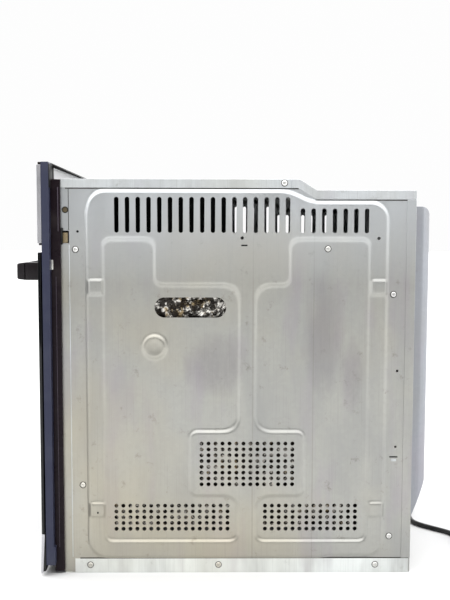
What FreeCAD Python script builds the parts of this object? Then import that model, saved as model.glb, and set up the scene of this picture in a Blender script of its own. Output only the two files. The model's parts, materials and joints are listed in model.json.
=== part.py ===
"""Built-in wall oven, modelled as a parametric document of separate pieces.

Frame: +Z up, front towards -Y; the right-hand side, as seen from the front, is +X.
The origin is the middle of the base's underside. Millimetres throughout.
"""
import FreeCAD, Part
import math
import os
import re
import Sketcher

Vector = FreeCAD.Vector

# ---------------------------------------------------------------- driving sizes
SIZES = {
    # casing
    "body_width": 560,          # over the raised faces of the side panels
    "body_depth": 513,          # front edge of the sides to the outside of the back
    "body_height": 580,         # base to the front part of the top
    "rear_drop": 15.5,          # how far the rear part of the top lies lower
    "sheet": 1,                 # casing sheet thickness
    "emboss": 3,                # height of the pressed relief in the sides
    "front_top_length": 332,    # depth of the front top cover
    "step_flat": 12,            # level part of the rear top cover before it slopes
    "step_run": 25,             # horizontal run of the slope
    "flange_height": 12.5,      # turned-down edge of both top covers
    "rail_height": 21.5,        # turned-up edge of the base tray
    "rail_start": 15,           # from the front edge to the start of the rail
    "rear_flange": 13.5,        # edge of the back that wraps round the sides
    "strip_width": 11.6,        # set-back strip along the front edge of a side
    "strip_set_back": 1.5,
    # pressed relief in the sides, measured from the front edge and from the base
    "ring_front": 39,
    "ring_rear": 472,
    "ring_bottom": 26,
    "ring_top": 563.5,
    "ring_rear_top": 547.5,
    "ring_slope_start": 334,
    "ring_slope_end": 355.5,
    "ring_corner": 25,
    "field_front": 60.5,
    "field_rear": 446,
    "field_bottom": 48.5,
    "field_top": 494.3,
    "field_shoulder": 428,
    "field_corner": 11,
    "neck_front": 134.5,        # front field narrows behind this line, above the shoulder
    "neck_rear": 331,
    "spine_middle": 269.5,      # upright raised spine between the two fields
    "spine_width": 24,
    "grille_width": 168,
    "grille_bottom": 116.5,
    "grille_top": 213,
    "pad_height": 1.5,
    "pad_length": 21,
    "pad_low": 96,
    "pad_high": 425,
    # openings in the sides
    "slot_pitch": 15.43,
    "slot_width": 6.6,
    "slot_first": 80.2,
    "slot_bottom": 503.2,
    "tall_slot_height": 51.3,
    "short_slot_height": 35.4,
    "tall_slots": 17,
    "short_slots": 7,
    "short_slot_first": 348.6,
    "hole_across": 10.28,       # spacing of the punched holes along the depth
    "hole_up": 8.7,             # spacing of the punched holes upwards
    "hole_radius": 3,
    "window_front": 134.3,      # long round-ended opening
    "window_rear": 238.6,
    "window_middle": 395.2,
    "window_height": 29.6,
    "dimple_front": 134,
    "dimple_middle": 337.4,
    "dimple_radius": 18.6,
    "dimple_flat": 14.4,
    # front
    "frame_lap": 2.5,           # how far the frame stands past the body at each side
    "facade_lap": 15,           # how far the facade stands past the frame at each side
    "frame_depth": 14,
    "frame_bottom": 4,
    "frame_rail": 20.5,         # width of the frame's upright sides
    "frame_face": 1.5,
    "trim_depth": 11,
    "trim_width": 26,
    "trim_bottom": 17,
    "trim_rise": 23,            # top of the trims above the body
    "foot_height": 27,
    "foot_depth": 2.5,
    "facade_thick": 6,
    "fascia_rise": 19,          # top of the fascia above the body
    "fascia_height": 111,
    "fascia_skin": 1.2,
    "housing_wall": 2,
    # door
    "door_gap": 13,             # between the fascia and the door
    "door_glass_bottom": 64,
    "door_glass_thick": 4,
    "door_side_gap": 4,         # between the door frame and the recess it closes into
    "door_frame_bottom": 30,
    "door_rail_height": 15,     # vented rail between the door frame and the door's top
    "door_frame_rail": 58,
    "door_wall": 1.5,
    "door_frame_back": 8,       # from the body's front plane to the back of the door frame
    "inner_glass_thick": 4,
    "inner_glass_margin": 18,
    "trim_plate": 3.5,
    "trim_lean": 2,
    "bottom_trim_top": 63.5,
    "bottom_trim_bottom": 5,
    "handle_reach": 38,
    "handle_length": 500,
    "handle_height": 26,
    "handle_thick": 12,
    "handle_drop": 28.5,        # middle of the bar below the door's top
    "bracket_width": 22,
    # hinges
    "pivot_forward": 21.5,      # pivot in front of the body's front plane
    "pivot_height": 12,
    "hinge_inset": 26.5,        # middle of each hinge from the side of the door frame
    "hinge_width": 19,
    "cheek": 2.5,
    "hinge_top": 190,
    "arm_thick": 5,
    "arm_height": 10,
    "arm_reach": 60,
    "pin_radius": 4,
    "running_gap": 0.05,
    "rod_radius": 2.5,
    "rod_set_back": 3.2,
    "rod_low": 36,
    "rod_high": 156,
    "spring_radius": 6,
    "spring_wall": 2,
    "spring_low": 60,
    "spring_high": 150,
    # cooking space
    "cavity_width": 440,
    "cavity_height": 340,
    "cavity_floor": 100,
    "cavity_depth": 400,
    "cavity_wall": 1,
    "cavity_corner": 14,
    "cavity_flange": 18,
    "seal_width": 8,
    "seal_gap": 0.3,
    "insulation_side": 40.5,
    "insulation_top": 24.5,
    "insulation_under": 22,
    "insulation_back": 24.5,
    "under_gap": 10.5,
    "rack_wire": 2.5,
    "rack_levels": 5,
    "rack_first": 150,
    "rack_step": 50,
    "shelf_wire": 3,
    "shelf_depth": 350,
    "shelf_front": 18,
    "loose_gap": 0.3,
    "tray_depth": 30,
    "element_radius": 3.25,
    "fan_radius": 75,
    "fan_width": 14,
    "shaft_radius": 4,
    "motor_radius": 38,
    "motor_length": 40,
    "baffle_size": 220,
    "baffle_distance": 30,
    "lamp_radius": 20,
    "lamp_depth": 14,
    # cooling fan above the cooking space
    "blower_half_length": 125,
    "blower_front": 105,
    "blower_depth": 130,
    "blower_height": 76,
    "drum_radius": 29,
    "blower_wall": 2,
    # controls
    "knob_radius": 20.5,
    "knob_gap": 0.4,
    "knob_proud": 0.8,
    "knob_length": 18,
    "knob_offset": 185,
    "knob_drop": 54,            # below the top of the fascia
    "spindle_radius": 3,
    "switch_size": 42,
    "switch_depth": 30,
    "display_width": 120,
    "display_height": 40,
    "display_drop": 44,         # below the top of the fascia
    "button_radius": 4.7,
    "button_gap": 0.3,
    "button_pitch": 26,
    "button_rise": 23,          # above the bottom of the fascia
    "button_proud": 0.8,
    "button_length": 5,
    # back
    "cover_width": 470,
    "cover_bottom": 67,
    "cover_top": 543,
    "cover_depth": 30,
    "cover_corner": 15,
    "cover_slant_top": 130,
    "cover_wall": 1.2,
    # mains lead
    "cord_radius": 4,
    "coil_radius": 44,
    "coil_half_width": 8,
    "coil_height": 24,
    "coil_tail": 47,
    "gland_radius": 9,
    "gland_length": 12,
    "gland_across": -150,
    "gland_height": 34,
    "plug_radius": 18,
    "plug_length": 38,
    "plug_pin_length": 19,
    "plug_pin_radius": 2.4,
    # fasteners
    "screw_radius": 4.7,
    "screw_height": 2.6,
    "fixing_hole": 2.5,
    "fixing_inset": 7.5,        # from the outer edge of a trim
    "fixing_apart": 400,
    "fixing_low": 100,
    "cover_screw_drop": 5.4,    # below the top of the front cover
    "rail_screw_height": 12,
    "rear_screw_drop": 9,       # below the rear part of the top
    "stay_offset": 250,
    "stay_width": 12,
    "stay_reach": 31,           # behind the front edge of the body
    # air slots in the base and in the back
    "base_slots": 7,
    "base_slot_first": 150,
    "base_slot_pitch": 34,
    "base_slot_width": 8,
    "base_slot_half_length": 120,
    "rear_vents": 6,
    "rear_vent_pitch": 60,
    "rear_vent_length": 40,
    "rear_vent_height": 6,
    "rear_vent_bottom": 480,
    # leads of the heating elements through the back of the cooking space
    "ring_lead_offset": 22,
    "ring_lead_drop": 22,       # below the rim of the fan wheel
    "grill_lead_offset": 28,
    "grill_drop": 20,           # below the roof of the cooking space
    "under_lead_offset": 60,
    "post_radius": 4,
}

# Distances that follow from the driving sizes, written with their names.
DERIVED = {
    "front": "(-body_depth / 2)",
    "back": "(body_depth / 2)",
    "side": "(body_width / 2 - emboss)",
    "rear_top": "(body_height - rear_drop)",
    "frame_width": "(body_width + 2 * frame_lap)",
    "facade_width": "(frame_width + 2 * facade_lap)",
    "fixing_across": "(facade_width - 2 * fixing_inset)",
    "door_frame_width": "(frame_width - 2 * frame_rail - 2 * door_side_gap)",
    "hinge_offset": "(door_frame_width / 2 - hinge_inset)",
    "trim_top": "(body_height + trim_rise)",
    "fascia_top": "(body_height + fascia_rise)",
    "fascia_bottom": "(fascia_top - fascia_height)",
    "door_top": "(fascia_bottom - door_gap)",
    "door_frame_top": "(door_top - door_rail_height)",
    "handle_middle": "(door_top - handle_drop)",
    "display_middle": "(fascia_top - display_drop)",
    "knob_middle": "(fascia_top - knob_drop)",
    "button_middle": "(fascia_bottom + button_rise)",
    "frame_front": "(front - frame_depth)",
    "trim_front": "(frame_front - trim_depth)",
    "facade_front": "(trim_front - facade_thick)",
    "cavity_top": "(cavity_floor + cavity_height)",
    "cavity_back": "(front + cavity_depth)",
    "cavity_middle": "(cavity_floor + cavity_height / 2)",
    "pivot": "(front - pivot_forward)",
    "glass_back": "(facade_front + door_glass_thick)",
    "door_back": "(front - door_frame_back)",
    "insulation_base": "(cavity_floor - cavity_wall - under_gap - insulation_under)",
    "insulation_roof": "(cavity_top + cavity_wall + insulation_top)",
}

doc = FreeCAD.newDocument("WallOven")
sheet = doc.addObject("Spreadsheet::Sheet", "Dims")
for row, (alias, value) in enumerate(SIZES.items(), start=1):
    sheet.set(f"A{row}", alias)
    sheet.set(f"B{row}", str(value))
    sheet.setAlias(f"B{row}", alias)
doc.recompute()

NODES = {}


def expression(text):
    """Text with size names turned into a sheet expression."""
    text = str(text)
    while re.search(r"\b(" + "|".join(DERIVED) + r")\b", text):
        text = re.sub(r"[A-Za-z_]\w*", lambda word: DERIVED.get(word[0], word[0]), text)
    return re.sub(r"[A-Za-z_]\w*", lambda word: f"Dims.{word[0]}" if word[0] in SIZES else word[0], text)


def bind(target, path, text):
    """Bind one property of an object to the sheet."""
    target.setExpression(path, expression(text))


def size(alias):
    """A driving size as a number, read from the sheet."""
    return float(sheet.get(alias))


def place(target, x, y, z):
    """Bind the position of an object."""
    bind(target, "Placement.Base.x", x)
    bind(target, "Placement.Base.y", y)
    bind(target, "Placement.Base.z", z)


def block(name, low, high):
    """A box between two corners given as expressions."""
    box = doc.addObject("Part::Box", name)
    for path, start, end in zip(("Length", "Width", "Height"), low, high):
        bind(box, path, f"({end}) - ({start})")
    place(box, *low)
    return box


TURNS = {
    "X": FreeCAD.Rotation(Vector(0, 1, 0), 90),
    "Y": FreeCAD.Rotation(Vector(1, 0, 0), -90),
    "Z": FreeCAD.Rotation(),
}


def rod(name, start, radius, length, axis):
    """A round bar along +axis from its start."""
    bar = doc.addObject("Part::Cylinder", name)
    bar.Placement = FreeCAD.Placement(Vector(), TURNS[axis])
    bind(bar, "Radius", radius)
    bind(bar, "Height", length)
    place(bar, *start)
    return bar


def join(name, pieces):
    """One solid from several that overlap or share a face."""
    fused = doc.addObject("Part::MultiFuse", name)
    fused.Shapes = pieces
    fused.Refine = True
    return fused


def group(name, pieces):
    """Separate solids kept in one piece."""
    compound = doc.addObject("Part::Compound", name)
    compound.Links = pieces
    return compound


def cut(name, base, tools):
    """The base with every tool taken out."""
    result = doc.addObject("Part::Cut", name)
    result.Base = base
    result.Tool = tools[0] if len(tools) == 1 else group(name + "_tools", tools)
    result.Refine = True
    return result


def node(label, target):
    """Register a finished piece under its own name."""
    target.Label = label
    NODES[label] = target
    return target


def mirrored(name, source):
    """The same piece for the other side of the oven."""
    mirror = doc.addObject("Part::Mirroring", name)
    mirror.Source = source
    mirror.Normal = Vector(1, 0, 0)
    mirror.Base = Vector(0, 0, 0)
    return mirror


def solid(label, shape):
    """A piece whose shape is made directly from wires."""
    feature = doc.addObject("Part::Feature", label)
    feature.Shape = shape
    feature.Placement = FreeCAD.Placement()
    return node(label, feature)


# ---------------------------------------------------------------- sketches
PLANES = {"side": "YZ_Plane", "front": "XZ_Plane", "level": "XY_Plane"}


def origin_plane(body, role):
    """One of the body's own origin planes."""
    return next(part for part in body.Origin.OriginFeatures if part.Role == role)


def new_body(name):
    """An empty body."""
    return doc.addObject("PartDesign::Body", name)


def sketch_on(body, name, plane, offset="0"):
    """A sketch on an origin plane of its body, moved along the plane's normal."""
    drawing = body.newObject("Sketcher::SketchObject", name)
    drawing.AttachmentSupport = [(origin_plane(body, PLANES[plane]), "")]
    drawing.MapMode = "FlatFace"
    bind(drawing, "AttachmentOffset.Base.z", offset)
    return drawing


def rectangle(drawing, low_x, low_y, high_x, high_y):
    """A rectangle whose four sides are bound to expressions."""
    corners = [Vector(0, 0, 0), Vector(10, 0, 0), Vector(10, 10, 0), Vector(0, 10, 0)]
    first = drawing.GeometryCount
    for index in range(4):
        drawing.addGeometry(Part.LineSegment(corners[index], corners[(index + 1) % 4]), False)
    for index in range(4):
        following = first + (index + 1) % 4
        drawing.addConstraint(Sketcher.Constraint("Coincident", first + index, 2, following, 1))
    for index, kind in enumerate(("Horizontal", "Vertical", "Horizontal", "Vertical")):
        drawing.addConstraint(Sketcher.Constraint(kind, first + index))
    sides = (("DistanceX", 0, low_x, 0), ("DistanceY", 0, low_y, 0))
    sides += (("DistanceX", 2, high_x, 10), ("DistanceY", 2, high_y, 10))
    for kind, line, text, start in sides:
        index = drawing.addConstraint(Sketcher.Constraint(kind, first + line, 1, float(start)))
        bind(drawing, f"Constraints[{index}]", text)


def circle(drawing, x, y, radius):
    """A circle whose middle and radius are bound to expressions."""
    ring = drawing.addGeometry(Part.Circle(Vector(1, 1, 0), Vector(0, 0, 1), 1), False)
    for kind, text in (("DistanceX", x), ("DistanceY", y)):
        index = drawing.addConstraint(Sketcher.Constraint(kind, ring, 3, 1.0))
        bind(drawing, f"Constraints[{index}]", text)
    index = drawing.addConstraint(Sketcher.Constraint("Radius", ring, 1.0))
    bind(drawing, f"Constraints[{index}]", radius)


def rounded_outline(points, radius):
    """Lines and tangent arcs round a closed corner list; radius is one value or one per corner."""
    count = len(points)
    corners = [Vector(x, y, 0) for x, y in points]
    radii = [radius] * count if isinstance(radius, (int, float)) else radius
    starts, ends, arcs = [], [], []
    for index, corner in enumerate(corners):
        before = (corners[index - 1] - corner).normalize()
        after = (corners[(index + 1) % count] - corner).normalize()
        half = before.getAngle(after) / 2
        reach = radii[index] / math.tan(half)
        inward = (before + after).normalize()
        middle = corner + inward * (radii[index] / math.sin(half) - radii[index])
        starts.append(corner + before * reach)
        ends.append(corner + after * reach)
        arcs.append(middle)
    pieces = []
    for index in range(count):
        if radii[index] > 0:
            pieces.append(Part.Arc(starts[index], arcs[index], ends[index]))
        pieces.append(Part.LineSegment(ends[index], starts[(index + 1) % count]))
    return pieces


def draw(drawing, pieces):
    """Put an outline into a sketch."""
    for piece in pieces:
        drawing.addGeometry(piece, False)


def pad(body, name, drawing, length, taper=0, both=False, reverse=False):
    """A pad of one sketch."""
    feature = body.newObject("PartDesign::Pad", name)
    feature.Profile = drawing
    bind(feature, "Length", length)
    feature.Midplane = both
    feature.Reversed = reverse
    feature.TaperAngle = taper
    body.Tip = feature
    return feature


def pocket(body, name, drawing, length, taper=0, reverse=False, both=False):
    """A pocket of one sketch."""
    feature = body.newObject("PartDesign::Pocket", name)
    feature.Profile = drawing
    bind(feature, "Length", length)
    feature.Reversed = reverse
    feature.Midplane = both
    feature.TaperAngle = taper
    body.Tip = feature
    return feature


# ---------------------------------------------------------------- side panels
def side_outline():
    """Flat outline of a side, front edge first."""
    front, back = -size("body_depth") / 2, size("body_depth") / 2 - size("sheet")
    top = size("body_height") - size("sheet")
    rear = top - size("rear_drop")
    slope = front + size("front_top_length") + size("step_flat")
    base = size("sheet")
    step = slope + size("step_run")
    return [(front, base), (back, base), (back, rear), (step, rear), (slope, top), (front, top)]


def ring_outline():
    """Outline of the raised platform."""
    front = -size("body_depth") / 2
    low, high, rear = size("ring_bottom"), size("ring_top"), size("ring_rear_top")
    start, end = front + size("ring_slope_start"), front + size("ring_slope_end")
    left, right = front + size("ring_front"), front + size("ring_rear")
    return [(left, low), (right, low), (right, rear), (end, rear), (start, high), (left, high)]


def front_field():
    """Outline of the recessed field towards the front."""
    front = -size("body_depth") / 2
    left, neck = front + size("field_front"), front + size("neck_front")
    spine = front + size("spine_middle") - size("spine_width") / 2
    grille = front + size("spine_middle") - size("grille_width") / 2
    low, top, shoulder = size("field_bottom"), size("field_top"), size("field_shoulder")
    points = [(left, low), (spine, low), (spine, size("grille_bottom")), (grille, size("grille_bottom"))]
    points += [(grille, size("grille_top")), (spine, size("grille_top")), (spine, shoulder)]
    return points + [(neck, shoulder), (neck, top), (left, top)]


def rear_field():
    """Outline of the recessed field towards the back."""
    front = -size("body_depth") / 2
    right, neck = front + size("field_rear"), front + size("neck_rear")
    spine = front + size("spine_middle") + size("spine_width") / 2
    grille = front + size("spine_middle") + size("grille_width") / 2
    low, top, shoulder = size("field_bottom"), size("field_top"), size("field_shoulder")
    points = [(right, low), (right, top), (neck, top), (neck, shoulder), (spine, shoulder)]
    points += [(spine, size("grille_top")), (grille, size("grille_top")), (grille, size("grille_bottom"))]
    return points + [(spine, size("grille_bottom")), (spine, low)]


def punched_grid(drawing, first, bottom, columns, rows):
    """A grid of round holes from its lowest front hole."""
    for column in range(columns):
        for row in range(rows):
            spot = Vector(first + column * size("hole_across"), bottom + row * size("hole_up"), 0)
            drawing.addGeometry(Part.Circle(spot, Vector(0, 0, 1), size("hole_radius")), False)


def upright_slot(drawing, middle, bottom, height):
    """A narrow round-ended slot."""
    half = size("slot_width") / 2
    points = [(middle - half, bottom), (middle + half, bottom)]
    points += [(middle + half, bottom + height), (middle - half, bottom + height)]
    draw(drawing, rounded_outline(points, half * 0.95))


SLOPE = 40      # degrees from square of the pressed walls
GRILLES = (     # first column from the front edge, lowest row, columns, rows
    (76.6, 66.4, 17, 5),
    (296.6, 66.4, 14, 5),
    (202.6, 134.2, 14, 8),
)
SIDE_SCREWS = ((20.4, 479), (27.6, 132.7), (385.7, 480.5), (481.8, 414.6), (481.3, 55))
RAIL_SCREWS = (37.6, 227.7, 461)
COVER_SCREW = 322
SMALL_HOLES = ((23.8, 504.9), (261.3, 496), (459, 495.8), (489.2, 302.5), (488.6, 189.7))
STRIP_HOLE = (6.3, 535.7)
NOTCH = (488, 506)


def pressed_side(name, shift):
    """The relief of a side as a thick slab; shift sets its outer face inwards."""
    body = new_body(name)
    thick = 6
    outline = sketch_on(body, name + "_outline", "side", f"side - {shift} - {thick}")
    draw(outline, rounded_outline(side_outline(), 0))
    pad(body, name + "_slab", outline, thick)
    ring = sketch_on(body, name + "_ring", "side", f"side - {shift}")
    draw(ring, rounded_outline(ring_outline(), size("ring_corner")))
    pad(body, name + "_raised", ring, "emboss", taper=-SLOPE)
    for title, points in (("front", front_field()), ("rear", rear_field())):
        field = sketch_on(body, f"{name}_{title}", "side", f"side - {shift} + emboss")
        draw(field, rounded_outline(points, size("field_corner")))
        pocket(body, f"{name}_{title}_field", field, "emboss", taper=-SLOPE)
    dimple = sketch_on(body, name + "_dimple", "side", f"side - {shift}")
    circle(dimple, "front + dimple_front", "dimple_middle", "dimple_radius")
    pad(body, name + "_dimple_raised", dimple, "emboss * 0.8", taper=-SLOPE)
    pads = sketch_on(body, name + "_pads", "side", f"side - {shift} + emboss")
    half = size("pad_length") / 2
    front = -size("body_depth") / 2
    spans = ((size("ring_front"), size("field_front")), (size("field_rear"), size("ring_rear")))
    for near, far in spans:
        for middle in (size("pad_low"), size("pad_high")):
            low, high = front + near + 3.5, front + far - 0.5
            corners = [(low, middle - half), (high, middle - half)]
            corners += [(high, middle + half), (low, middle + half)]
            draw(pads, rounded_outline(corners, 2))
    pad(body, name + "_pads_raised", pads, "pad_height", taper=-SLOPE)
    return body


def side_panel():
    """Right-hand side: a pressed sheet with air slots and punched holes."""
    outer = pressed_side("side_outer", "0")
    inner = pressed_side("side_inner", "sheet")
    shell = cut("side_shell", outer, [inner])
    punch = new_body("side_punch")
    front = -size("body_depth") / 2
    drawing = sketch_on(punch, "side_punch_sketch", "side", "side - 10")
    for index in range(int(size("tall_slots"))):
        middle = front + size("slot_first") + index * size("slot_pitch")
        upright_slot(drawing, middle, size("slot_bottom"), size("tall_slot_height"))
    for index in range(int(size("short_slots"))):
        middle = front + size("short_slot_first") + index * size("slot_pitch")
        upright_slot(drawing, middle, size("slot_bottom"), size("short_slot_height"))
    for first, bottom, columns, rows in GRILLES:
        punched_grid(drawing, front + first, bottom, columns, rows)
    low = size("window_middle") - size("window_height") / 2
    high = low + size("window_height")
    left, right = front + size("window_front"), front + size("window_rear")
    window = [(left, low), (right, low), (right, high), (left, high)]
    draw(drawing, rounded_outline(window, size("window_height") * 0.49))
    for along, up in SMALL_HOLES:
        drawing.addGeometry(Part.Circle(Vector(front + along, up, 0), Vector(0, 0, 1), 1.8), False)
    pad(punch, "side_punch_pad", drawing, "20")
    inside = "side - strip_set_back - sheet"
    room = block("side_strip_room", ("side - 6", "front - 1", "0"),
                 ("side + 1", "front + strip_width", "body_height"))
    sheet_part = cut("side_sheet", shell, [punch, room])
    edge = block(
        "side_strip",
        (inside, "front", "sheet"),
        ("side - strip_set_back", "front + strip_width + sheet", "body_height - sheet"),
    )
    joggle = block(
        "side_joggle",
        (inside, "front + strip_width", "sheet"),
        ("side", "front + strip_width + sheet", "body_height - sheet"),
    )
    notch = block("side_notch", ("side - 8", "front - 1", NOTCH[0]),
                  ("side + 8", "front + strip_width", NOTCH[1]))
    hole = rod("side_strip_hole", ("side - 8", f"front + {STRIP_HOLE[0]}", STRIP_HOLE[1]), 3.8, 16, "X")
    return cut("side_right", join("side_formed", [sheet_part, edge, joggle]), [notch, hole])


right_panel = node("side_panel_right", side_panel())
left_panel = node("side_panel_left", mirrored("side_left", right_panel))


# ---------------------------------------------------------------- casing sheets
def profile_pad(name, points, half_width, radius=0):
    """A side-view outline padded equally to both sides of the middle."""
    body = new_body(name)
    drawing = sketch_on(body, name + "_outline", "side")
    draw(drawing, rounded_outline(points, radius))
    pad(body, name + "_pad", drawing, f"2 * ({half_width})", both=True)
    return body


def turned_edge(name, points, side_of):
    """A side-view outline one sheet thick, outside the side panel."""
    body = new_body(name)
    drawing = sketch_on(body, name + "_outline", "side", "side" if side_of > 0 else "-side - sheet")
    draw(drawing, rounded_outline(points, 0))
    pad(body, name + "_pad", drawing, "sheet")
    return body


def top_covers():
    """Front and rear top covers, each with its edges turned down over the sides."""
    sheet_size = size("sheet")
    front, back = -size("body_depth") / 2, size("body_depth") / 2
    top, deep = size("body_height"), size("flange_height")
    end = front + size("front_top_length")
    plate = block("top_front_sheet", ("-side - sheet", "front", "body_height - sheet"),
                  ("side + sheet", "front + front_top_length", "body_height"))
    edges = []
    for name, low in (("right", "side"), ("left", "-side - sheet")):
        edges.append(block(f"top_front_edge_{name}", (low, "front", "body_height - flange_height"),
                           (f"{low} + sheet", "front + front_top_length", "body_height")))
    node("top_cover_front", join("top_front", [plate] + edges))
    start, rear = end + 0.5, top - size("rear_drop")
    slope = front + size("front_top_length") + size("step_flat")
    foot = slope + size("step_run")
    upper = [(start, top), (slope, top), (foot, rear), (back, rear)]
    under = [(back, rear - sheet_size), (foot, rear - sheet_size), (slope, top - sheet_size)]
    skin = profile_pad("top_rear_sheet", upper + under + [(start, top - sheet_size)], "side + sheet")
    down = [(back, rear - deep), (foot - 2, rear - deep), (slope - 2, top - deep), (start, top - deep)]
    pieces = [skin]
    for index, side_of in enumerate((1, -1)):
        pieces.append(turned_edge(f"top_rear_edge_{index}", upper + down, side_of))
    node("top_cover_rear", join("top_rear", pieces))


def base_tray():
    """Bottom sheet with a turned-up rail outside each side panel and air slots."""
    plate = block("base_sheet", ("-side - sheet", "front", "0"), ("side + sheet", "back", "sheet"))
    pieces = [plate]
    for name, low in (("right", "side"), ("left", "-side - sheet")):
        pieces.append(block(f"base_rail_{name}", (low, "front + rail_start", "0"),
                            (f"{low} + sheet", "back - 2.5", "rail_height")))
    tray = join("base_formed", pieces)
    slots = []
    for index in range(int(size("base_slots"))):
        start = f"front + base_slot_first + {index} * base_slot_pitch"
        slots.append(block(f"base_slot_{index}", ("-base_slot_half_length", start, -1),
                           ("base_slot_half_length", f"{start} + base_slot_width", "sheet + 2")))
    node("base_tray", cut("base", tray, slots))


def rear_panel():
    """Back sheet whose edges wrap round the sides, with a round fan opening."""
    sheet_part = block("rear_sheet", ("-side - sheet", "back - sheet", "rail_height + 0.5"),
                       ("side + sheet", "back", "rear_top - flange_height - 0.5"))
    foot = block("rear_foot", ("-side + sheet", "back - sheet", "sheet"),
                 ("side - sheet", "back", "rail_height + 0.5"))
    head = block("rear_head", ("-side + sheet", "back - sheet", "rear_top - flange_height - 0.5"),
                 ("side - sheet", "back", "rear_top - sheet"))
    edges = [sheet_part, foot, head]
    for name, low in (("right", "side"), ("left", "-side - sheet")):
        edges.append(block(f"rear_edge_{name}", (low, "back - rear_flange", "rail_height + 0.5"),
                           (f"{low} + sheet", "back", "rear_top - flange_height - 0.5")))
    formed = join("rear_formed", edges)
    opening = rod("rear_opening", (0, "back - 5", "cavity_middle"), 55, 10, "Y")
    gland = rod("rear_gland_hole", ("gland_across", "back - 5", "gland_height"), "gland_radius - 2", 10, "Y")
    vents = []
    count = int(size("rear_vents"))
    for index in range(count):
        low = f"({index} - {count - 1} / 2) * rear_vent_pitch - rear_vent_length / 2"
        vents.append(block(f"rear_vent_{index}", (low, "back - 3", "rear_vent_bottom"),
                           (f"{low} + rear_vent_length", "back + 1", "rear_vent_bottom + rear_vent_height")))
    node("rear_panel", cut("rear", formed, [opening, gland] + vents))


def cover_solid(name, points, radii, half_width, plan_radius):
    """A side-view outline crossed with a plan outline whose rear corners are round."""
    back = size("body_depth") / 2
    profile = profile_pad(f"{name}_profile", points, half_width, radii)
    plan = new_body(f"{name}_plan")
    drawing = sketch_on(plan, f"{name}_plan_sketch", "level")
    out = max(along for along, _ in points)
    wide = size("cover_width") / 2 - (size("cover_wall") if name == "cover_room" else 0)
    corners = [(-wide, back - 3), (wide, back - 3), (wide, out), (-wide, out)]
    draw(drawing, rounded_outline(corners, [0, 0, plan_radius, plan_radius]))
    pad(plan, f"{name}_plan_pad", drawing, "body_height")
    crossed = doc.addObject("Part::MultiCommon", name)
    crossed.Shapes = [profile, plan]
    return crossed


def rear_cover():
    """Shallow pressed cover over the fan motor and wiring, with a slanted lower end."""
    back = size("body_depth") / 2
    out = back + size("cover_depth")
    low, high, wall = size("cover_bottom"), size("cover_top"), size("cover_wall")
    slant, corner = size("cover_slant_top"), size("cover_corner")
    points = [(back, low), (back + 6, low), (out, slant), (out, high), (back, high)]
    skin = cover_solid("cover_skin", points, [0, 3, corner, corner, 0], "cover_width / 2", corner)
    inside = [(back - 2, low + wall), (back + 6 - wall / 2, low + wall), (out - wall, slant),
              (out - wall, high - wall), (back - 2, high - wall)]
    room = cover_solid("cover_room", inside, [0, 2, corner - wall, corner - wall, 0],
                       "cover_width / 2 - cover_wall", corner - wall)
    node("rear_cover", cut("cover", skin, [room]))


top_covers()
base_tray()
rear_panel()
rear_cover()


# ---------------------------------------------------------------- front frame and trims
def front_frame():
    """Enamelled front frame: a shallow tray round the door recess and the control recess."""
    blank = block("frame_blank", ("-frame_width / 2", "frame_front", "frame_bottom"),
                  ("frame_width / 2", "front", "body_height - sheet"))
    half = "frame_width / 2 - frame_rail"
    door_room = block("frame_door_room", (f"-({half})", "frame_front - 1", "door_frame_bottom - 4"),
                      (half, "front - frame_face", "door_top + 3"))
    control_room = block("frame_control_room", (f"-({half})", "frame_front - 1", "fascia_bottom - 2"),
                         (half, "front - frame_face", "body_height - 9"))
    mouth = new_body("frame_mouth")
    drawing = sketch_on(mouth, "frame_mouth_sketch", "front", "-front - 5")
    draw(drawing, rounded_outline(cavity_section(0), size("cavity_corner")))
    pad(mouth, "frame_mouth_pad", drawing, "12")
    slots = []
    for name, sign in (("right", 1), ("left", -1)):
        middle = f"{sign} * hinge_offset"
        slots.append(block(f"frame_slot_{name}",
                           (f"{middle} - hinge_width / 2 - 1", "frame_front - 1", "frame_bottom + 1.5"),
                           (f"{middle} + hinge_width / 2 + 1", "front + 1", "door_frame_bottom - 5")))
    for name, sign in (("function", -1), ("temperature", 1)):
        slots.append(rod(f"frame_hole_{name}", (f"{sign} * knob_offset", "frame_front", "knob_middle"),
                         "spindle_radius + running_gap", "frame_depth + 1", "Y"))
    node("front_frame", cut("frame", blank, [door_room, control_room, mouth] + slots))


def cavity_section(grow):
    """Front-view outline of the cooking space, grown by a wall."""
    half = size("cavity_width") / 2 + grow
    low = size("cavity_floor") - grow
    high = size("cavity_floor") + size("cavity_height") + grow
    return [(-half, low), (half, low), (half, high), (-half, high)]


def side_trim(name, sign):
    """Upright trim bar in front of the frame, deeper at its foot, with two fixing holes."""
    inner, outer = "facade_width / 2 - trim_width", "facade_width / 2"
    spans = (inner, outer) if sign > 0 else (f"-({outer})", f"-({inner})")
    bar = block(f"{name}_bar", (spans[0], "trim_front", "trim_bottom"), (spans[1], "frame_front", "trim_top"))
    beside = "frame_width / 2 + 0.5"
    foot_spans = (beside, outer) if sign > 0 else (f"-({outer})", f"-({beside})")
    foot = block(f"{name}_foot", (foot_spans[0], "frame_front - 1", "trim_bottom"),
                 (foot_spans[1], "frame_front + foot_depth", "trim_bottom + foot_height"))
    holes = []
    for level in ("fixing_low", "fixing_low + fixing_apart"):
        holes.append(rod(f"{name}_hole_{len(holes)}", (f"{sign} * fixing_across / 2", "trim_front - 1", level),
                         "fixing_hole", "trim_depth + 6", "Y"))
    node(name, cut(f"{name}_drilled", join(f"{name}_formed", [bar, foot]), holes))


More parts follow.
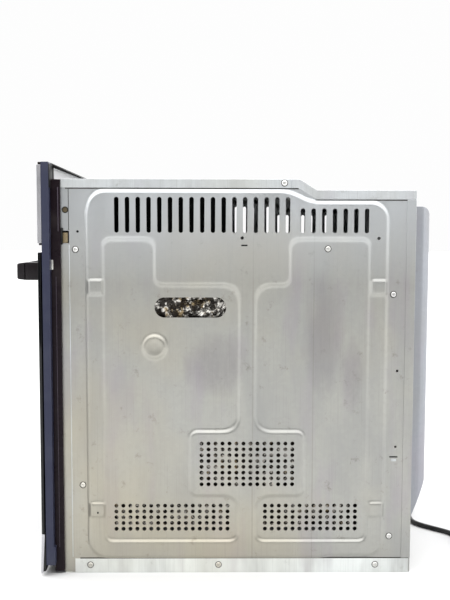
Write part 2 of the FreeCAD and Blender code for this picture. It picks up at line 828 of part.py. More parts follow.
def stay(name, sign):
    """Triangular stay from the top of the control housing back to the top cover."""
    front = -size("body_depth") / 2
    near, far = front - size("frame_depth"), front + size("stay_reach")
    low, high = size("body_height"), size("body_height") + size("trim_rise") - 1
    web = new_body(f"{name}_web")
    drawing = sketch_on(web, f"{name}_web_sketch", "side",
                        "stay_offset" if sign > 0 else "-stay_offset - sheet")
    draw(drawing, rounded_outline([(near, low), (far, low), (far, low + 2), (near, high)], 0))
    pad(web, f"{name}_web_pad", drawing, "sheet")
    strip = new_body(f"{name}_strip")
    drawing = sketch_on(strip, f"{name}_strip_sketch", "side",
                        "stay_offset" if sign > 0 else "-stay_offset - stay_width")
    draw(drawing, rounded_outline([(near, high - 3), (far, low), (far, low + 3), (near, high)], 0))
    pad(strip, f"{name}_strip_pad", drawing, "stay_width")
    node(name, join(f"{name}_formed", [web, strip]))


front_frame()
side_trim("side_trim_right", 1)
side_trim("side_trim_left", -1)
stay("stay_right", 1)
stay("stay_left", -1)


# ---------------------------------------------------------------- control panel
def controls():
    """Fascia, the housing behind it, the display lens, three buttons and two push-in knobs."""
    blank = block("fascia_blank", ("-facade_width / 2", "facade_front", "fascia_bottom"),
                  ("facade_width / 2", "trim_front", "fascia_top"))
    room = block("fascia_room", ("-facade_width / 2 + fascia_skin", "facade_front + fascia_skin",
                                 "fascia_bottom + fascia_skin"),
                 ("facade_width / 2 - fascia_skin", "trim_front + 1", "fascia_top - fascia_skin"))
    window_low = ("-display_width / 2", "facade_front", "display_middle - display_height / 2")
    window_high = ("display_width / 2", "trim_front", "display_middle + display_height / 2")
    lens = node("timer_window", block("timer_lens", window_low, window_high))
    opening = block("fascia_window", ("-display_width / 2", "facade_front - 1", window_low[2]),
                    ("display_width / 2", "trim_front + 1", window_high[2]))
    tools = [room, opening]
    housing_tools = []
    for name, sign in (("function", -1), ("temperature", 1)):
        tools.append(rod(f"fascia_{name}_hole", (f"{sign} * knob_offset", "facade_front - 1", "knob_middle"),
                         "knob_radius + knob_gap", 12, "Y"))
        housing_tools.append(rod(f"housing_{name}_hole",
                                 (f"{sign} * knob_offset", "facade_front", "knob_middle"),
                                 "knob_radius + 1.5", "frame_depth + trim_depth + 5", "Y"))
    for index in (-1, 0, 1):
        tools.append(rod(f"fascia_button_hole_{index + 1}",
                         (f"{index} * button_pitch", "facade_front - 1", "button_middle"),
                         "button_radius + button_gap", 12, "Y"))
    node("control_fascia", cut("fascia", blank, tools))
    inner = "facade_width / 2 - trim_width - 0.5"
    shell = block("housing_blank", (f"-({inner})", "trim_front", "fascia_bottom + 1"),
                  (inner, "frame_front", "trim_top"))
    hollow = block("housing_room", (f"-({inner}) + housing_wall", "trim_front + housing_wall",
                                    "fascia_bottom + 1 + housing_wall"),
                   (f"{inner} - housing_wall", "frame_front + 1", "trim_top - housing_wall"))
    node("control_housing", cut("housing", shell, [hollow] + housing_tools))
    return lens


def knob(kind, sign):
    """A push-in knob, the spindle it slides on and turns, and the switch behind the frame."""
    across = f"{sign} * knob_offset"
    face = "facade_front - knob_proud"
    dial = rod(f"{kind}_dial", (across, face, "knob_middle"), "knob_radius", "knob_length", "Y")
    bore = rod(f"{kind}_bore", (across, f"{face} + 2.5", "knob_middle"),
               "spindle_radius + running_gap", "knob_length", "Y")
    pointer = block(f"{kind}_pointer", (f"{across} - 1", f"{face} - 1", "knob_middle + 4"),
                    (f"{across} + 1", f"{face} + 0.8", "knob_middle + knob_radius - 2"))
    node(f"{kind}_knob", cut(f"{kind}_knob_cut", dial, [bore, pointer]))
    spindle = rod(f"{kind}_bar", (across, f"{face} + 3", "knob_middle"), "spindle_radius",
                  f"front + switch_depth * 0.8 - ({face} + 3)", "Y")
    node(f"{kind}_spindle", spindle)
    switch = block(f"{kind}_case", (f"{across} - switch_size / 2", "front", "knob_middle - switch_size / 2"),
                   (f"{across} + switch_size / 2", "front + switch_depth", "knob_middle + switch_size / 2"))
    seat = rod(f"{kind}_seat", (across, "front - 1", "knob_middle"), "spindle_radius + running_gap",
               "switch_depth * 0.8 + 1.5", "Y")
    label = "function_switch" if kind == "function" else "thermostat"
    node(label, cut(f"{kind}_switch", switch, [seat]))


controls()
knob("function", -1)
knob("temperature", 1)
for index, title in ((-1, "minus"), (0, "mode"), (1, "plus")):
    node(f"timer_button_{title}", rod(f"button_{title}", (f"{index} * button_pitch",
         "facade_front - button_proud", "button_middle"), "button_radius", "button_length", "Y"))


# ---------------------------------------------------------------- door
def door():
    """Door: outer glass, inner frame and glass, top rail, leaning bottom trim and handle."""
    glass = block("outer_glass", ("-facade_width / 2", "facade_front", "door_glass_bottom"),
                  ("facade_width / 2", "glass_back", "door_top"))
    node("door_outer_glass", glass)
    half = "door_frame_width / 2"
    blank = block("door_frame_blank", (f"-{half}", "glass_back", "door_frame_bottom"),
                  (half, "door_back", "door_frame_top"))
    window_low = (f"-({half} - door_frame_rail)", "facade_front", "door_frame_bottom + 55")
    window_high = (f"{half} - door_frame_rail", "front", "door_frame_top - 40")
    opening = block("door_frame_opening", window_low, window_high)
    trough = block("door_frame_trough",
                   (f"-{half} + door_wall", "glass_back - 1", "door_frame_bottom + door_wall"),
                   (f"{half} - door_wall", "door_back - door_wall", "door_frame_top - door_wall"))
    rim = block("door_frame_rim",
                (f"{window_low[0]} - door_wall", "facade_front", f"{window_low[2]} - door_wall"),
                (f"{window_high[0]} + door_wall", "front", f"{window_high[2]} + door_wall"))
    tools = [opening, cut("door_frame_channel", trough, [rim])]
    for name, sign in (("right", 1), ("left", -1)):
        middle = f"{sign} * hinge_offset"
        tools.append(block(f"door_slot_{name}",
                           (f"{middle} - hinge_width / 2", "glass_back - 1", "door_frame_bottom - 1"),
                           (f"{middle} + hinge_width / 2", "door_back - door_wall",
                            "door_frame_bottom + door_wall + 1")))
    tools.append(block("door_frame_trim_room", ("-facade_width / 2", "glass_back - 1", 0),
                       ("facade_width / 2", "facade_front + trim_plate + 1", "bottom_trim_top")))
    node("door_frame", cut("door_frame_cut", blank, tools))
    inner = block("inner_glass", (f"-({half} - inner_glass_margin)", "door_back", "cavity_floor - 30"),
                  (f"{half} - inner_glass_margin", "door_back + inner_glass_thick", "door_frame_top - 8"))
    node("door_inner_glass", inner)
    rail = block("door_rail_blank", (f"-{half}", "glass_back", "door_frame_top"),
                 (half, "door_back", "door_top - 1"))
    vents = []
    for index in range(-4, 5):
        vents.append(block(f"door_rail_vent_{index + 4}",
                           (f"{index} * 50 - 25", "glass_back + 4", "door_frame_top + 4"),
                           (f"{index} * 50 + 15", "door_back - 4", "door_top")))
    node("door_top_rail", cut("door_rail", rail, vents))
    front = -size("body_depth") / 2 - size("frame_depth") - size("trim_depth") - size("facade_thick")
    low, high, lean = size("bottom_trim_bottom"), size("bottom_trim_top"), size("trim_lean")
    plate = size("trim_plate")
    points = [(front - lean, low), (front - lean + plate, low), (front + plate + 1, high), (front, high)]
    trim = profile_pad("trim_plate_body", points, "facade_width / 2")
    back = block("trim_backing", ("-door_frame_width / 2", "facade_front + 1", "door_frame_bottom"),
                 ("door_frame_width / 2", "facade_front + trim_plate + 1", "bottom_trim_top"))
    node("door_bottom_trim", join("door_trim", [trim, back]))


def handle():
    """Flat bar on two end brackets."""
    half = "handle_length / 2"
    low, high = "handle_middle - handle_height / 2", "handle_middle + handle_height / 2"
    out = "facade_front - handle_reach"
    bar = new_body("handle_bar")
    drawing = sketch_on(bar, "handle_bar_sketch", "side")
    front = -size("body_depth") / 2 - size("frame_depth") - size("trim_depth") - size("facade_thick")
    near, far = front - size("handle_reach"), front - size("handle_reach") + size("handle_thick")
    half_height = size("handle_height") / 2
    corners = [(near, 1.5 - half_height), (far, -half_height), (far, half_height), (near, half_height - 1.5)]
    draw(drawing, rounded_outline(corners, [3, 1, 1, 3]))
    pad(bar, "handle_bar_pad", drawing, "handle_length", both=True)
    bind(bar, "Placement.Base.z", "handle_middle")
    node("door_handle", bar)
    pieces = []
    for sign in (1, -1):
        low_x = f"{half} - bracket_width" if sign > 0 else f"-({half})"
        high_x = half if sign > 0 else f"-({half}) + bracket_width"
        pieces.append(block(f"bracket_{sign + 1}", (low_x, f"{out} + handle_thick", low),
                            (high_x, "facade_front", high)))
    node("handle_brackets", group("brackets", pieces))


def hinges():
    """Each hinge: a channel in the door, a fixed arm, a pin, and a rod with its spring."""
    pins, rods, springs = [], [], []
    for name, sign in (("right", 1), ("left", -1)):
        middle = f"{sign} * hinge_offset"
        low, high = f"{middle} - hinge_width / 2", f"{middle} + hinge_width / 2"
        channel = block(f"hinge_{name}_blank", (low, "glass_back + 0.6", "pivot_height - 6"),
                        (high, "pivot + 6", "door_frame_bottom"))
        upper = block(f"hinge_{name}_upper", (low, "glass_back", "door_frame_bottom"),
                      (high, "door_back - door_wall", "hinge_top"))
        slit = block(f"hinge_{name}_slit", (f"{low} + cheek", "glass_back + 2", "pivot_height - 8"),
                     (f"{high} - cheek", "front", "spring_low - 4"))
        hollow = block(f"hinge_{name}_hollow", (f"{low} + cheek", "glass_back + 2", "spring_low"),
                       (f"{high} - cheek", "front", "hinge_top - 4"))
        slit_low = block(f"hinge_{name}_slit_low", (f"{low} + cheek", "glass_back - 1", "pivot_height - 8"),
                         (f"{high} - cheek", "front", "pivot_height + 8"))
        trim_room = block(f"hinge_{name}_trim_room", (low, "glass_back - 1", 0),
                          (high, "facade_front + trim_plate + 1", "bottom_trim_top + 0.2"))
        pin_hole = rod(f"hinge_{name}_pin_hole", (f"{low} - 1", "pivot", "pivot_height"), "pin_radius",
                       "hinge_width + 2", "X")
        rod_hole = rod(f"hinge_{name}_rod_hole", (middle, "pivot + rod_set_back", "spring_low - 6"),
                       "rod_radius + running_gap * 2", "8", "Z")
        body = join(f"hinge_{name}_formed", [channel, upper])
        tools = [slit, hollow, slit_low, trim_room, pin_hole, rod_hole]
        node(f"hinge_body_{name}", cut(f"hinge_{name}_cut", body, tools))
        pins.append(rod(f"pin_{name}", (low, "pivot", "pivot_height"), "pin_radius", "hinge_width", "X"))
        arm_low, arm_high = f"{middle} - arm_thick / 2", f"{middle} + arm_thick / 2"
        bar = block(f"arm_{name}_bar", (arm_low, "pivot", "pivot_height - arm_height / 2"),
                    (arm_high, "front + arm_reach", "pivot_height + arm_height / 2"))
        nose = rod(f"arm_{name}_nose", (arm_low, "pivot", "pivot_height"), "arm_height / 2", "arm_thick", "X")
        eye = rod(f"arm_{name}_eye", (f"{arm_low} - 1", "pivot", "pivot_height"), "pin_radius + running_gap",
                  "arm_thick + 2", "X")
        foot = block(f"arm_{name}_foot", (f"{middle} - 12", "front + arm_reach - 25", "sheet"),
                     (f"{middle} + 12", "front + arm_reach", "pivot_height - arm_height / 2 + 2"))
        node(f"hinge_arm_{name}", cut(f"arm_{name}", join(f"arm_{name}_formed", [bar, nose, foot]), [eye]))
        stem = rod(f"rod_{name}_stem", (middle, "pivot + rod_set_back", "rod_low"), "rod_radius",
                   "rod_high - rod_low", "Z")
        nut = rod(f"rod_{name}_nut", (middle, "pivot + rod_set_back", "spring_high"), "spring_radius",
                  "rod_high - spring_high", "Z")
        rods.append(join(f"rod_{name}", [stem, nut]))
        coil = rod(f"spring_{name}_outside", (middle, "pivot + rod_set_back", "spring_low"), "spring_radius",
                   "spring_high - spring_low", "Z")
        bore = rod(f"spring_{name}_bore", (middle, "pivot + rod_set_back", "spring_low - 1"),
                   "spring_radius - spring_wall", "spring_high - spring_low + 2", "Z")
        springs.append(cut(f"spring_{name}", coil, [bore]))
    node("hinge_pins", group("pins", pins))
    node("hinge_rods", group("rods", rods))
    node("hinge_springs", group("springs", springs))


door()
handle()
hinges()


# ---------------------------------------------------------------- cooking space
def framed_section(name, outline, radius, start, length):
    """A front-view outline padded backwards from a plane."""
    body = new_body(name)
    drawing = sketch_on(body, name + "_sketch", "front", f"-({start}) - ({length})")
    draw(drawing, rounded_outline(outline, radius))
    pad(body, name + "_pad", drawing, length)
    return body


def cavity():
    """Enamelled liner with a flange against the front frame."""
    wall, corner = size("cavity_wall"), size("cavity_corner")
    ring_foot = "cavity_middle - fan_radius - ring_lead_drop"
    outer = framed_section("liner_outside", cavity_section(wall), corner + wall, "front",
                           "cavity_depth + cavity_wall")
    flange = framed_section("liner_flange", cavity_section(size("cavity_flange")), corner, "front",
                            "cavity_wall")
    inner = framed_section("liner_room", cavity_section(0), corner, "front - 1", "cavity_depth + 1")
    shaft = rod("liner_shaft_hole", (0, "cavity_back - 1", "cavity_middle"), "shaft_radius + 4", 5, "Y")
    tools = [inner, shaft]
    for sign in (1, -1):
        tools.append(rod(f"liner_lead_hole_{sign + 1}",
                         (f"{sign} * ring_lead_offset", "cavity_back - 1", ring_foot),
                         "element_radius + 0.1", 5, "Y"))
        tools.append(rod(f"liner_grill_hole_{sign + 1}",
                         (f"{sign} * grill_lead_offset", "cavity_back - 1", "cavity_top - grill_drop"),
                         "element_radius + 0.1", 5, "Y"))
    node("oven_cavity", cut("liner", join("liner_formed", [outer, flange]), tools))
    outside = block("blanket_outside",
                    ("-cavity_width / 2 - cavity_wall - insulation_side", "front + cavity_wall",
                     "insulation_base"),
                    ("cavity_width / 2 + cavity_wall + insulation_side",
                     "cavity_back + cavity_wall + insulation_back", "insulation_roof"))
    room = block("blanket_room",
                 ("-cavity_width / 2 - cavity_wall", "front", "cavity_floor - cavity_wall - under_gap"),
                 ("cavity_width / 2 + cavity_wall", "cavity_back + cavity_wall", "cavity_top + cavity_wall"))
    flange_room = block("blanket_flange_room",
                        ("-cavity_width / 2 - cavity_flange", "front", "cavity_floor - cavity_flange"),
                        ("cavity_width / 2 + cavity_flange", "front + cavity_wall",
                         "cavity_top + cavity_flange"))
    through = "insulation_back + 20"
    shaft_room = rod("blanket_shaft_room", (0, "cavity_back", "cavity_middle"), "shaft_radius + 8",
                     through, "Y")
    tools = [room, flange_room, shaft_room]
    for index in range(3):
        angle = math.radians(90 + index * 120)
        tools.append(rod(f"blanket_post_room_{index}",
                         (f"motor_radius * 0.75 * {math.cos(angle)}", "cavity_back",
                          f"cavity_middle + motor_radius * 0.75 * {math.sin(angle)}"),
                         "post_radius + loose_gap", through, "Y"))
    for sign in (1, -1):
        leads = (("lead", "ring_lead_offset", ring_foot),
                 ("grill", "grill_lead_offset", "cavity_top - grill_drop"),
                 ("under", "under_lead_offset", "cavity_floor - cavity_wall - element_radius - loose_gap"))
        for title, offset, level in leads:
            tools.append(rod(f"blanket_{title}_room_{sign + 1}", (f"{sign} * {offset}", "cavity_back", level),
                             "element_radius + 0.5", through, "Y"))
    node("insulation", cut("blanket", outside, tools))
    lip = framed_section("seal_outside", cavity_section(size("seal_width") + 3), corner + 8,
                         "door_back + inner_glass_thick + seal_gap",
                         "front - frame_face - (door_back + inner_glass_thick + seal_gap)")
    hole = framed_section("seal_room", cavity_section(3), corner + 2, "front - 20", "40")
    node("door_seal", cut("seal", lip, [hole]))


def rack(name, sign):
    """Side rack: two uprights and the rails that carry shelves."""
    wall = f"{sign} * (cavity_width / 2 - rack_wire)"
    rail = f"{sign} * (cavity_width / 2 - rack_wire * 2.8)"
    pieces = []
    for index, along in enumerate(("front + 40", "front + 340")):
        pieces.append(rod(f"{name}_upright_{index}", (wall, along, "cavity_floor + 20"), "rack_wire",
                          "cavity_height - 60", "Z"))
    for level in range(int(size("rack_levels"))):
        pieces.append(rod(f"{name}_rail_{level}", (rail, "front + 25", f"rack_first + {level} * rack_step"),
                          "rack_wire", 345, "Y"))
    node(name, join(f"{name}_formed", pieces))


def wire_shelf():
    """Wire shelf on the fourth rails: an edge wire, two cross wires and the grid."""
    height = "rack_first + 3 * rack_step + rack_wire + loose_gap + shelf_wire"
    half = "cavity_width / 2 - rack_wire * 2 - shelf_wire - loose_gap"
    wires = []
    for sign in (1, -1):
        wires.append(rod(f"shelf_side_{sign + 1}", (f"{sign} * ({half})", "front + shelf_front", height),
                         "shelf_wire", "shelf_depth", "Y"))
    ends = ("front + shelf_front + shelf_wire", "front + shelf_front + shelf_depth - shelf_wire")
    for index, along in enumerate(ends):
        wires.append(rod(f"shelf_cross_{index}", (f"-({half})", along, height), "shelf_wire",
                         f"2 * ({half})", "X"))
    for index in range(-8, 9):
        wires.append(rod(f"shelf_wire_{index + 8}", (f"{index} * 23", "front + shelf_front + 1", height),
                         "shelf_wire * 0.6", "shelf_depth - 2", "Y"))
    node("wire_shelf", join("shelf_formed", wires))


def baking_tray():
    """Pressed tray hung by its rim on the second rails."""
    body = new_body("tray")
    height = "rack_first + rack_wire + loose_gap"
    half = "cavity_width / 2 - 6"
    rim = sketch_on(body, "tray_rim_sketch", "level", f"{height}")
    rectangle(rim, f"-({half})", "front + shelf_front", half, "front + shelf_front + shelf_depth")
    pad(body, "tray_rim", rim, "1.2")
    bowl = sketch_on(body, "tray_bowl_sketch", "level", f"{height} - tray_depth")
    rectangle(bowl, f"-({half}) + 14", "front + shelf_front + 14", f"{half} - 14",
              "front + shelf_front + shelf_depth - 14")
    pad(body, "tray_bowl", bowl, "tray_depth")
    room = sketch_on(body, "tray_room_sketch", "level", f"{height} + 1.2")
    rectangle(room, f"-({half}) + 15.2", "front + shelf_front + 15.2", f"{half} - 15.2",
              "front + shelf_front + shelf_depth - 15.2")
    pocket(body, "tray_room", room, "tray_depth")
    node("baking_tray", body)


def bent_path(points, radii):
    """Straight runs joined by tangent arcs."""
    pieces, start = [], points[0]
    for index in range(1, len(points) - 1):
        corner = points[index]
        before = (points[index - 1] - corner).normalize()
        after = (points[index + 1] - corner).normalize()
        half = before.getAngle(after) / 2
        reach = radii[index - 1] / math.tan(half)
        inward = (before + after).normalize()
        middle = corner + inward * (radii[index - 1] / math.sin(half) - radii[index - 1])
        pieces.append(Part.LineSegment(start, corner + before * reach).toShape())
        pieces.append(Part.Arc(corner + before * reach, middle, corner + after * reach).toShape())
        start = corner + after * reach
    pieces.append(Part.LineSegment(start, points[-1]).toShape())
    return Part.Wire(pieces)


def tube_along(path, start, direction, radius):
    """A round bar swept along a path."""
    section = Part.Wire([Part.Circle(start, direction, radius).toShape()])
    return path.makePipeShell([section], True, False)


def heating_elements():
    """Top, bottom and ring elements."""
    front, radius = -size("body_depth") / 2, size("element_radius")
    back = front + size("cavity_depth")
    height = size("cavity_floor") + size("cavity_height") - size("grill_drop")
    half = size("cavity_width") / 2 - 45
    tail = back + size("insulation_back") + 8
    inner = size("grill_lead_offset")
    loop = [(inner, tail), (inner, back - 60), (half, back - 60), (half, front + 70), (half - 60, front + 70),
            (half - 60, back - 110), (60, back - 110), (60, front + 70)]
    points = [Vector(x, y, height) for x, y in loop] + [Vector(-x, y, height) for x, y in reversed(loop)]
    path = bent_path(points, [18] * (len(points) - 2))
    solid("grill_element", tube_along(path, points[0], Vector(0, -1, 0), radius))
    low = size("cavity_floor") - size("cavity_wall") - size("loose_gap") - radius
    inner = size("under_lead_offset")
    loop = [(inner, tail), (inner, back - 60), (half, back - 60), (half, front + 60)]
    points = [Vector(x, y, low) for x, y in loop] + [Vector(-x, y, low) for x, y in reversed(loop)]
    path = bent_path(points, [25] * (len(points) - 2))
    solid("lower_element", tube_along(path, points[0], Vector(0, -1, 0), radius))
    middle = size("cavity_floor") + size("cavity_height") / 2
    ring = size("fan_radius") + 14
    along = back - size("baffle_distance") / 2
    torus = Part.makeTorus(ring, radius, Vector(0, along, middle), Vector(0, 1, 0))
    leads = []
    foot = middle - size("fan_radius") - size("ring_lead_drop")
    for sign in (1, -1):
        offset = sign * size("ring_lead_offset")
        points = [Vector(offset, tail, foot), Vector(offset, along, foot)]
        points.append(Vector(offset, along, middle - ring + 4))
        path = bent_path(points, [5])
        leads.append(tube_along(path, points[0], Vector(0, -1, 0), radius))
    solid("ring_element", torus.multiFuse(leads))


def convection():
    """Fan wheel on its shaft, the motor behind the blanket and the plate in front."""
    wheel = new_body("wheel")
    drawing = sketch_on(wheel, "wheel_disc_sketch", "front", "-(cavity_back - 8)")
    circle(drawing, "0", "cavity_middle", "fan_radius")
    pad(wheel, "wheel_disc", drawing, "1.2")
    hub = rod("wheel_hub", (0, "cavity_back - 8 - fan_width", "cavity_middle"), "shaft_radius + 5",
              "fan_width", "Y")
    shaft = rod("wheel_shaft", (0, "cavity_back - 8 - fan_width - 3", "cavity_middle"), "shaft_radius",
                "fan_width + 11 + cavity_wall + insulation_back + motor_length * 0.8", "Y")
    blades = []
    for index in range(8):
        blade = block(f"wheel_blade_{index}", (0, 0, 0), (1.2, "fan_width", "fan_radius - 22"))
        turn = FreeCAD.Rotation(Vector(0, 1, 0), index * 45)
        blade.Placement.Rotation = turn
        offset = turn.multVec(Vector(0, 0, 20))
        bind(blade, "Placement.Base.x", offset.x)
        bind(blade, "Placement.Base.y", "cavity_back - 8 - fan_width")
        bind(blade, "Placement.Base.z", f"cavity_middle + {offset.z}")
        blades.append(blade)
    node("convection_fan", join("wheel_formed", [wheel, hub, shaft] + blades))
    start = "cavity_back + cavity_wall + insulation_back"
    case = rod("motor_case", (0, start, "cavity_middle"), "motor_radius", "motor_length", "Y")
    posts = []
    for index in range(3):
        angle = math.radians(90 + index * 120)
        posts.append(rod(f"motor_post_{index}",
                         (f"motor_radius * 0.75 * {math.cos(angle)}", "cavity_back + cavity_wall",
                          f"cavity_middle + motor_radius * 0.75 * {math.sin(angle)}"),
                         "post_radius", "insulation_back + 4", "Y"))
    bore = rod("motor_bore", (0, "cavity_back", "cavity_middle"), "shaft_radius + running_gap", 200, "Y")
    node("fan_motor", cut("motor", join("motor_formed", [case] + posts), [bore]))
    plate = block("baffle_plate",
                  ("-baffle_size / 2", "cavity_back - baffle_distance - 1.2",
                   "cavity_middle - baffle_size / 2"),
                  ("baffle_size / 2", "cavity_back - baffle_distance", "cavity_middle + baffle_size / 2"))
    feet = []
    for across in (-1, 1):
        for up in (-1, 1):
            feet.append(rod(f"baffle_foot_{across + 1}_{up + 1}",
                            (f"{across} * (baffle_size / 2 - 8)", "cavity_back - baffle_distance - 1",
                             f"cavity_middle + {up} * (baffle_size / 2 - 8)"), 4, "baffle_distance + 1", "Y"))
    openings = []
    for turn_count, radius, hole in ((6, 14, 4), (12, 28, 5), (18, 44, 5)):
        for index in range(turn_count):
            angle = 2 * math.pi * index / turn_count
            openings.append(rod(f"baffle_hole_{radius}_{index}",
                                (radius * math.cos(angle), "cavity_back - baffle_distance - 3",
                                 f"cavity_middle + {radius * math.sin(angle)}"), hole, 6, "Y"))
    node("fan_baffle", cut("baffle", join("baffle_formed", [plate] + feet), openings))


def lamp():
    """Oven lamp: threaded glass cover on the back wall."""
    base = rod("lamp_base", (165, "cavity_back - 5", "cavity_top - 45"), "lamp_radius", 5, "Y")
    dome = rod("lamp_dome", (165, "cavity_back - lamp_depth", "cavity_top - 45"), "lamp_radius - 3",
               "lamp_depth - 4", "Y")
    node("oven_lamp", join("lamp", [base, dome]))


def blower():
    """Cooling fan: a long drum in a housing with an outlet towards the front."""
    half = "blower_half_length"
    low, high = "insulation_roof", "insulation_roof + blower_height"
    case = block("blower_case", (f"-{half}", "front + blower_front", low),
                 (half, "front + blower_front + blower_depth", high))
    middle_y, middle_z = "front + blower_front + blower_depth - 50", "insulation_roof + blower_height / 2"
    room = block("blower_room",
                 (f"-{half} + blower_wall", "front + blower_front + blower_wall", f"{low} + blower_wall"),
                 (f"{half} - blower_wall", "front + blower_front + blower_depth - blower_wall",
                  f"{high} - blower_wall"))
    outlet = block("blower_outlet", (f"-{half} + 6", "front + blower_front - 1", f"{middle_z} - 14"),
                   (f"{half} - 6", middle_y, f"{middle_z} + 14"))
    inlet = block("blower_inlet", (f"-{half} + 20", middle_y, f"{middle_z} - 15"),
                  (f"{half} - 20", "back", f"{middle_z} + 15"))
    bearing = rod("blower_bearing", (f"-{half} - 1", middle_y, middle_z), "3 + running_gap",
                  f"2 * ({half}) + 2", "X")
    node("cooling_fan_housing", cut("blower", case, [room, outlet, inlet, bearing]))
    shaft = rod("drum_shaft", (f"-{half}", middle_y, middle_z), 3, f"2 * ({half})", "X")
    pieces = [shaft]
    for index, start in enumerate((f"-{half} + 8", "-1", f"{half} - 10")):
        pieces.append(rod(f"drum_disc_{index}", (start, middle_y, middle_z), "drum_radius", 2, "X"))
    for index in range(16):
        angle = 2 * math.pi * index / 16
        pieces.append(rod(f"drum_blade_{index}",
                          (f"-{half} + 8", f"{middle_y} + (drum_radius - 3) * {math.cos(angle)}",
                           f"{middle_z} + (drum_radius - 3) * {math.sin(angle)}"),
                          1.6, f"2 * ({half}) - 16", "X"))
    node("cooling_fan_drum", join("drum", pieces))


cavity()
rack("shelf_rack_right", 1)
rack("shelf_rack_left", -1)
wire_shelf()
baking_tray()
heating_elements()
convection()
lamp()
blower()


# ---------------------------------------------------------------- mains lead
CORD_ROUTE = (      # across, behind the back sheet, up
    (-150, 12, 34),
    (-150, 50, 34),
    (-124, 80, 20),
    (-82, 82, 7),
    (-40, 65, 4),
    (0, 64, 4),
    (37, 83, 4),
    (72, 110, 4),
    (112, 118, 4),
)
COIL_MIDDLE = (118, 162)


def mains_lead():
    """Gland, the free stretch of the lead, its coil and a two-pin plug."""
    radius, back = size("cord_radius"), size("body_depth") / 2
    points = [Vector(x, back + y, z) for x, y, z in CORD_ROUTE]
    radii = []
    for index in range(1, len(points) - 1):
        before = points[index] - points[index - 1]
        after = points[index + 1] - points[index]
        run = min(before.Length, after.Length)
        radii.append(0.45 * run / math.tan(before.getAngle(after) / 2))
    print("lead arc radii", [round(value, 1) for value in radii])
    path = bent_path(points, radii)
    lead = tube_along(path, points[0], points[1] - points[0], radius)
    swept = math.pi * radius ** 2 * path.Length
    print("lead length", round(path.Length, 1), "volume against section", round(lead.Volume / swept, 4))
    solid("power_cord", lead)
    gland = rod("gland_body", ("gland_across", "back", "gland_height"), "gland_radius", "gland_length / 2", "Y")
    nose = rod("gland_nose", ("gland_across", "back + gland_length / 2", "gland_height"), "gland_radius - 3",
               "gland_length / 2", "Y")
    node("cord_gland", join("gland", [gland, nose]))
    middle = (COIL_MIDDLE[0], f"back + {COIL_MIDDLE[1]}", "0")
    ring = rod("coil_outside", middle, "coil_radius + coil_half_width", "coil_height", "Z")
    hole = rod("coil_room", middle, "coil_radius - coil_half_width", "coil_height", "Z")
    tail_start = f"{COIL_MIDDLE[0]} - coil_tail"
    tail_y = f"back + {COIL_MIDDLE[1]} + coil_radius"
    tail = rod("coil_tail_piece", (tail_start, tail_y, "plug_radius"), "cord_radius", "coil_tail", "X")
    node("cord_coil", join("coil_formed", [cut("coil", ring, [hole]), tail]))
    body = rod("plug_body", (f"{tail_start} - plug_length", tail_y, "plug_radius"), "plug_radius",
               "plug_length", "X")
    pins = []
    for sign in (1, -1):
        pins.append(rod(f"plug_pin_{sign + 1}", (f"{tail_start} - plug_length - plug_pin_length",
                        f"{tail_y} + {sign} * 9.5", "plug_radius"),
                        "plug_pin_radius", "plug_pin_length + 1", "X"))
    node("power_plug", join("plug", [body] + pins))


mains_lead()


# ---------------------------------------------------------------- fasteners
def fasteners():
    """Pan-head screws on both sides, the bottom rails and the top covers."""
    heads = []
    spots = [("side", along, up) for along, up in SIDE_SCREWS]
    spots += [("side + sheet", along, "rail_screw_height") for along in RAIL_SCREWS]
    spots.append(("side + sheet", COVER_SCREW, "body_height - cover_screw_drop"))
    for face, along, up in spots:
        for sign in (1, -1):
            low = face if sign > 0 else f"-({face}) - screw_height"
            heads.append(rod(f"screw_{len(heads)}", (low, f"front + {along}", up), "screw_radius",
                             "screw_height", "X"))
    for across in (-200, -80, 80, 200):
        heads.append(rod(f"screw_{len(heads)}", (across, "back", "rear_top - rear_screw_drop"),
                         "screw_radius - 1", "screw_height", "Y"))
    node("casing_screws", group("screws", heads))


fasteners()


# ---------------------------------------------------------------- checks and files
doc.recompute()
faults = []
for thing in doc.Objects:
    if "Invalid" in thing.State or "Error" in thing.State:
        faults.append(f"{thing.Name}: {thing.State}")
for label, thing in NODES.items():
    shape = thing.Shape
    if shape.isNull() or not shape.isValid() or not shape.Solids:
        faults.append(f"{label}: shape is not sound")
if faults:
    raise RuntimeError("; ".join(faults))

os.makedirs("parts", exist_ok=True)
for label, thing in NODES.items():
    thing.Shape.exportStep(os.path.join("parts", f"{label}.step"))
    print(f"{label:24s} solids {len(thing.Shape.Solids):3d}  volume {thing.Shape.Volume / 1000:9.1f} cm3")
print("pieces", len(NODES))
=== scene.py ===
"""Built-in wall oven: the visible model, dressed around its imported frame.

Metres throughout, in the frame's own axes: the front faces -Y, +Z is up and the origin is the middle of
the base's underside. Sizes named in millimetres pass through mm() or MM.
"""

import json
import logging
import math
from dataclasses import dataclass, field
from enum import Enum
from functools import cached_property
from typing import ClassVar, Iterable, Sequence

import bmesh
import bpy
from mathutils import Matrix, Vector, noise

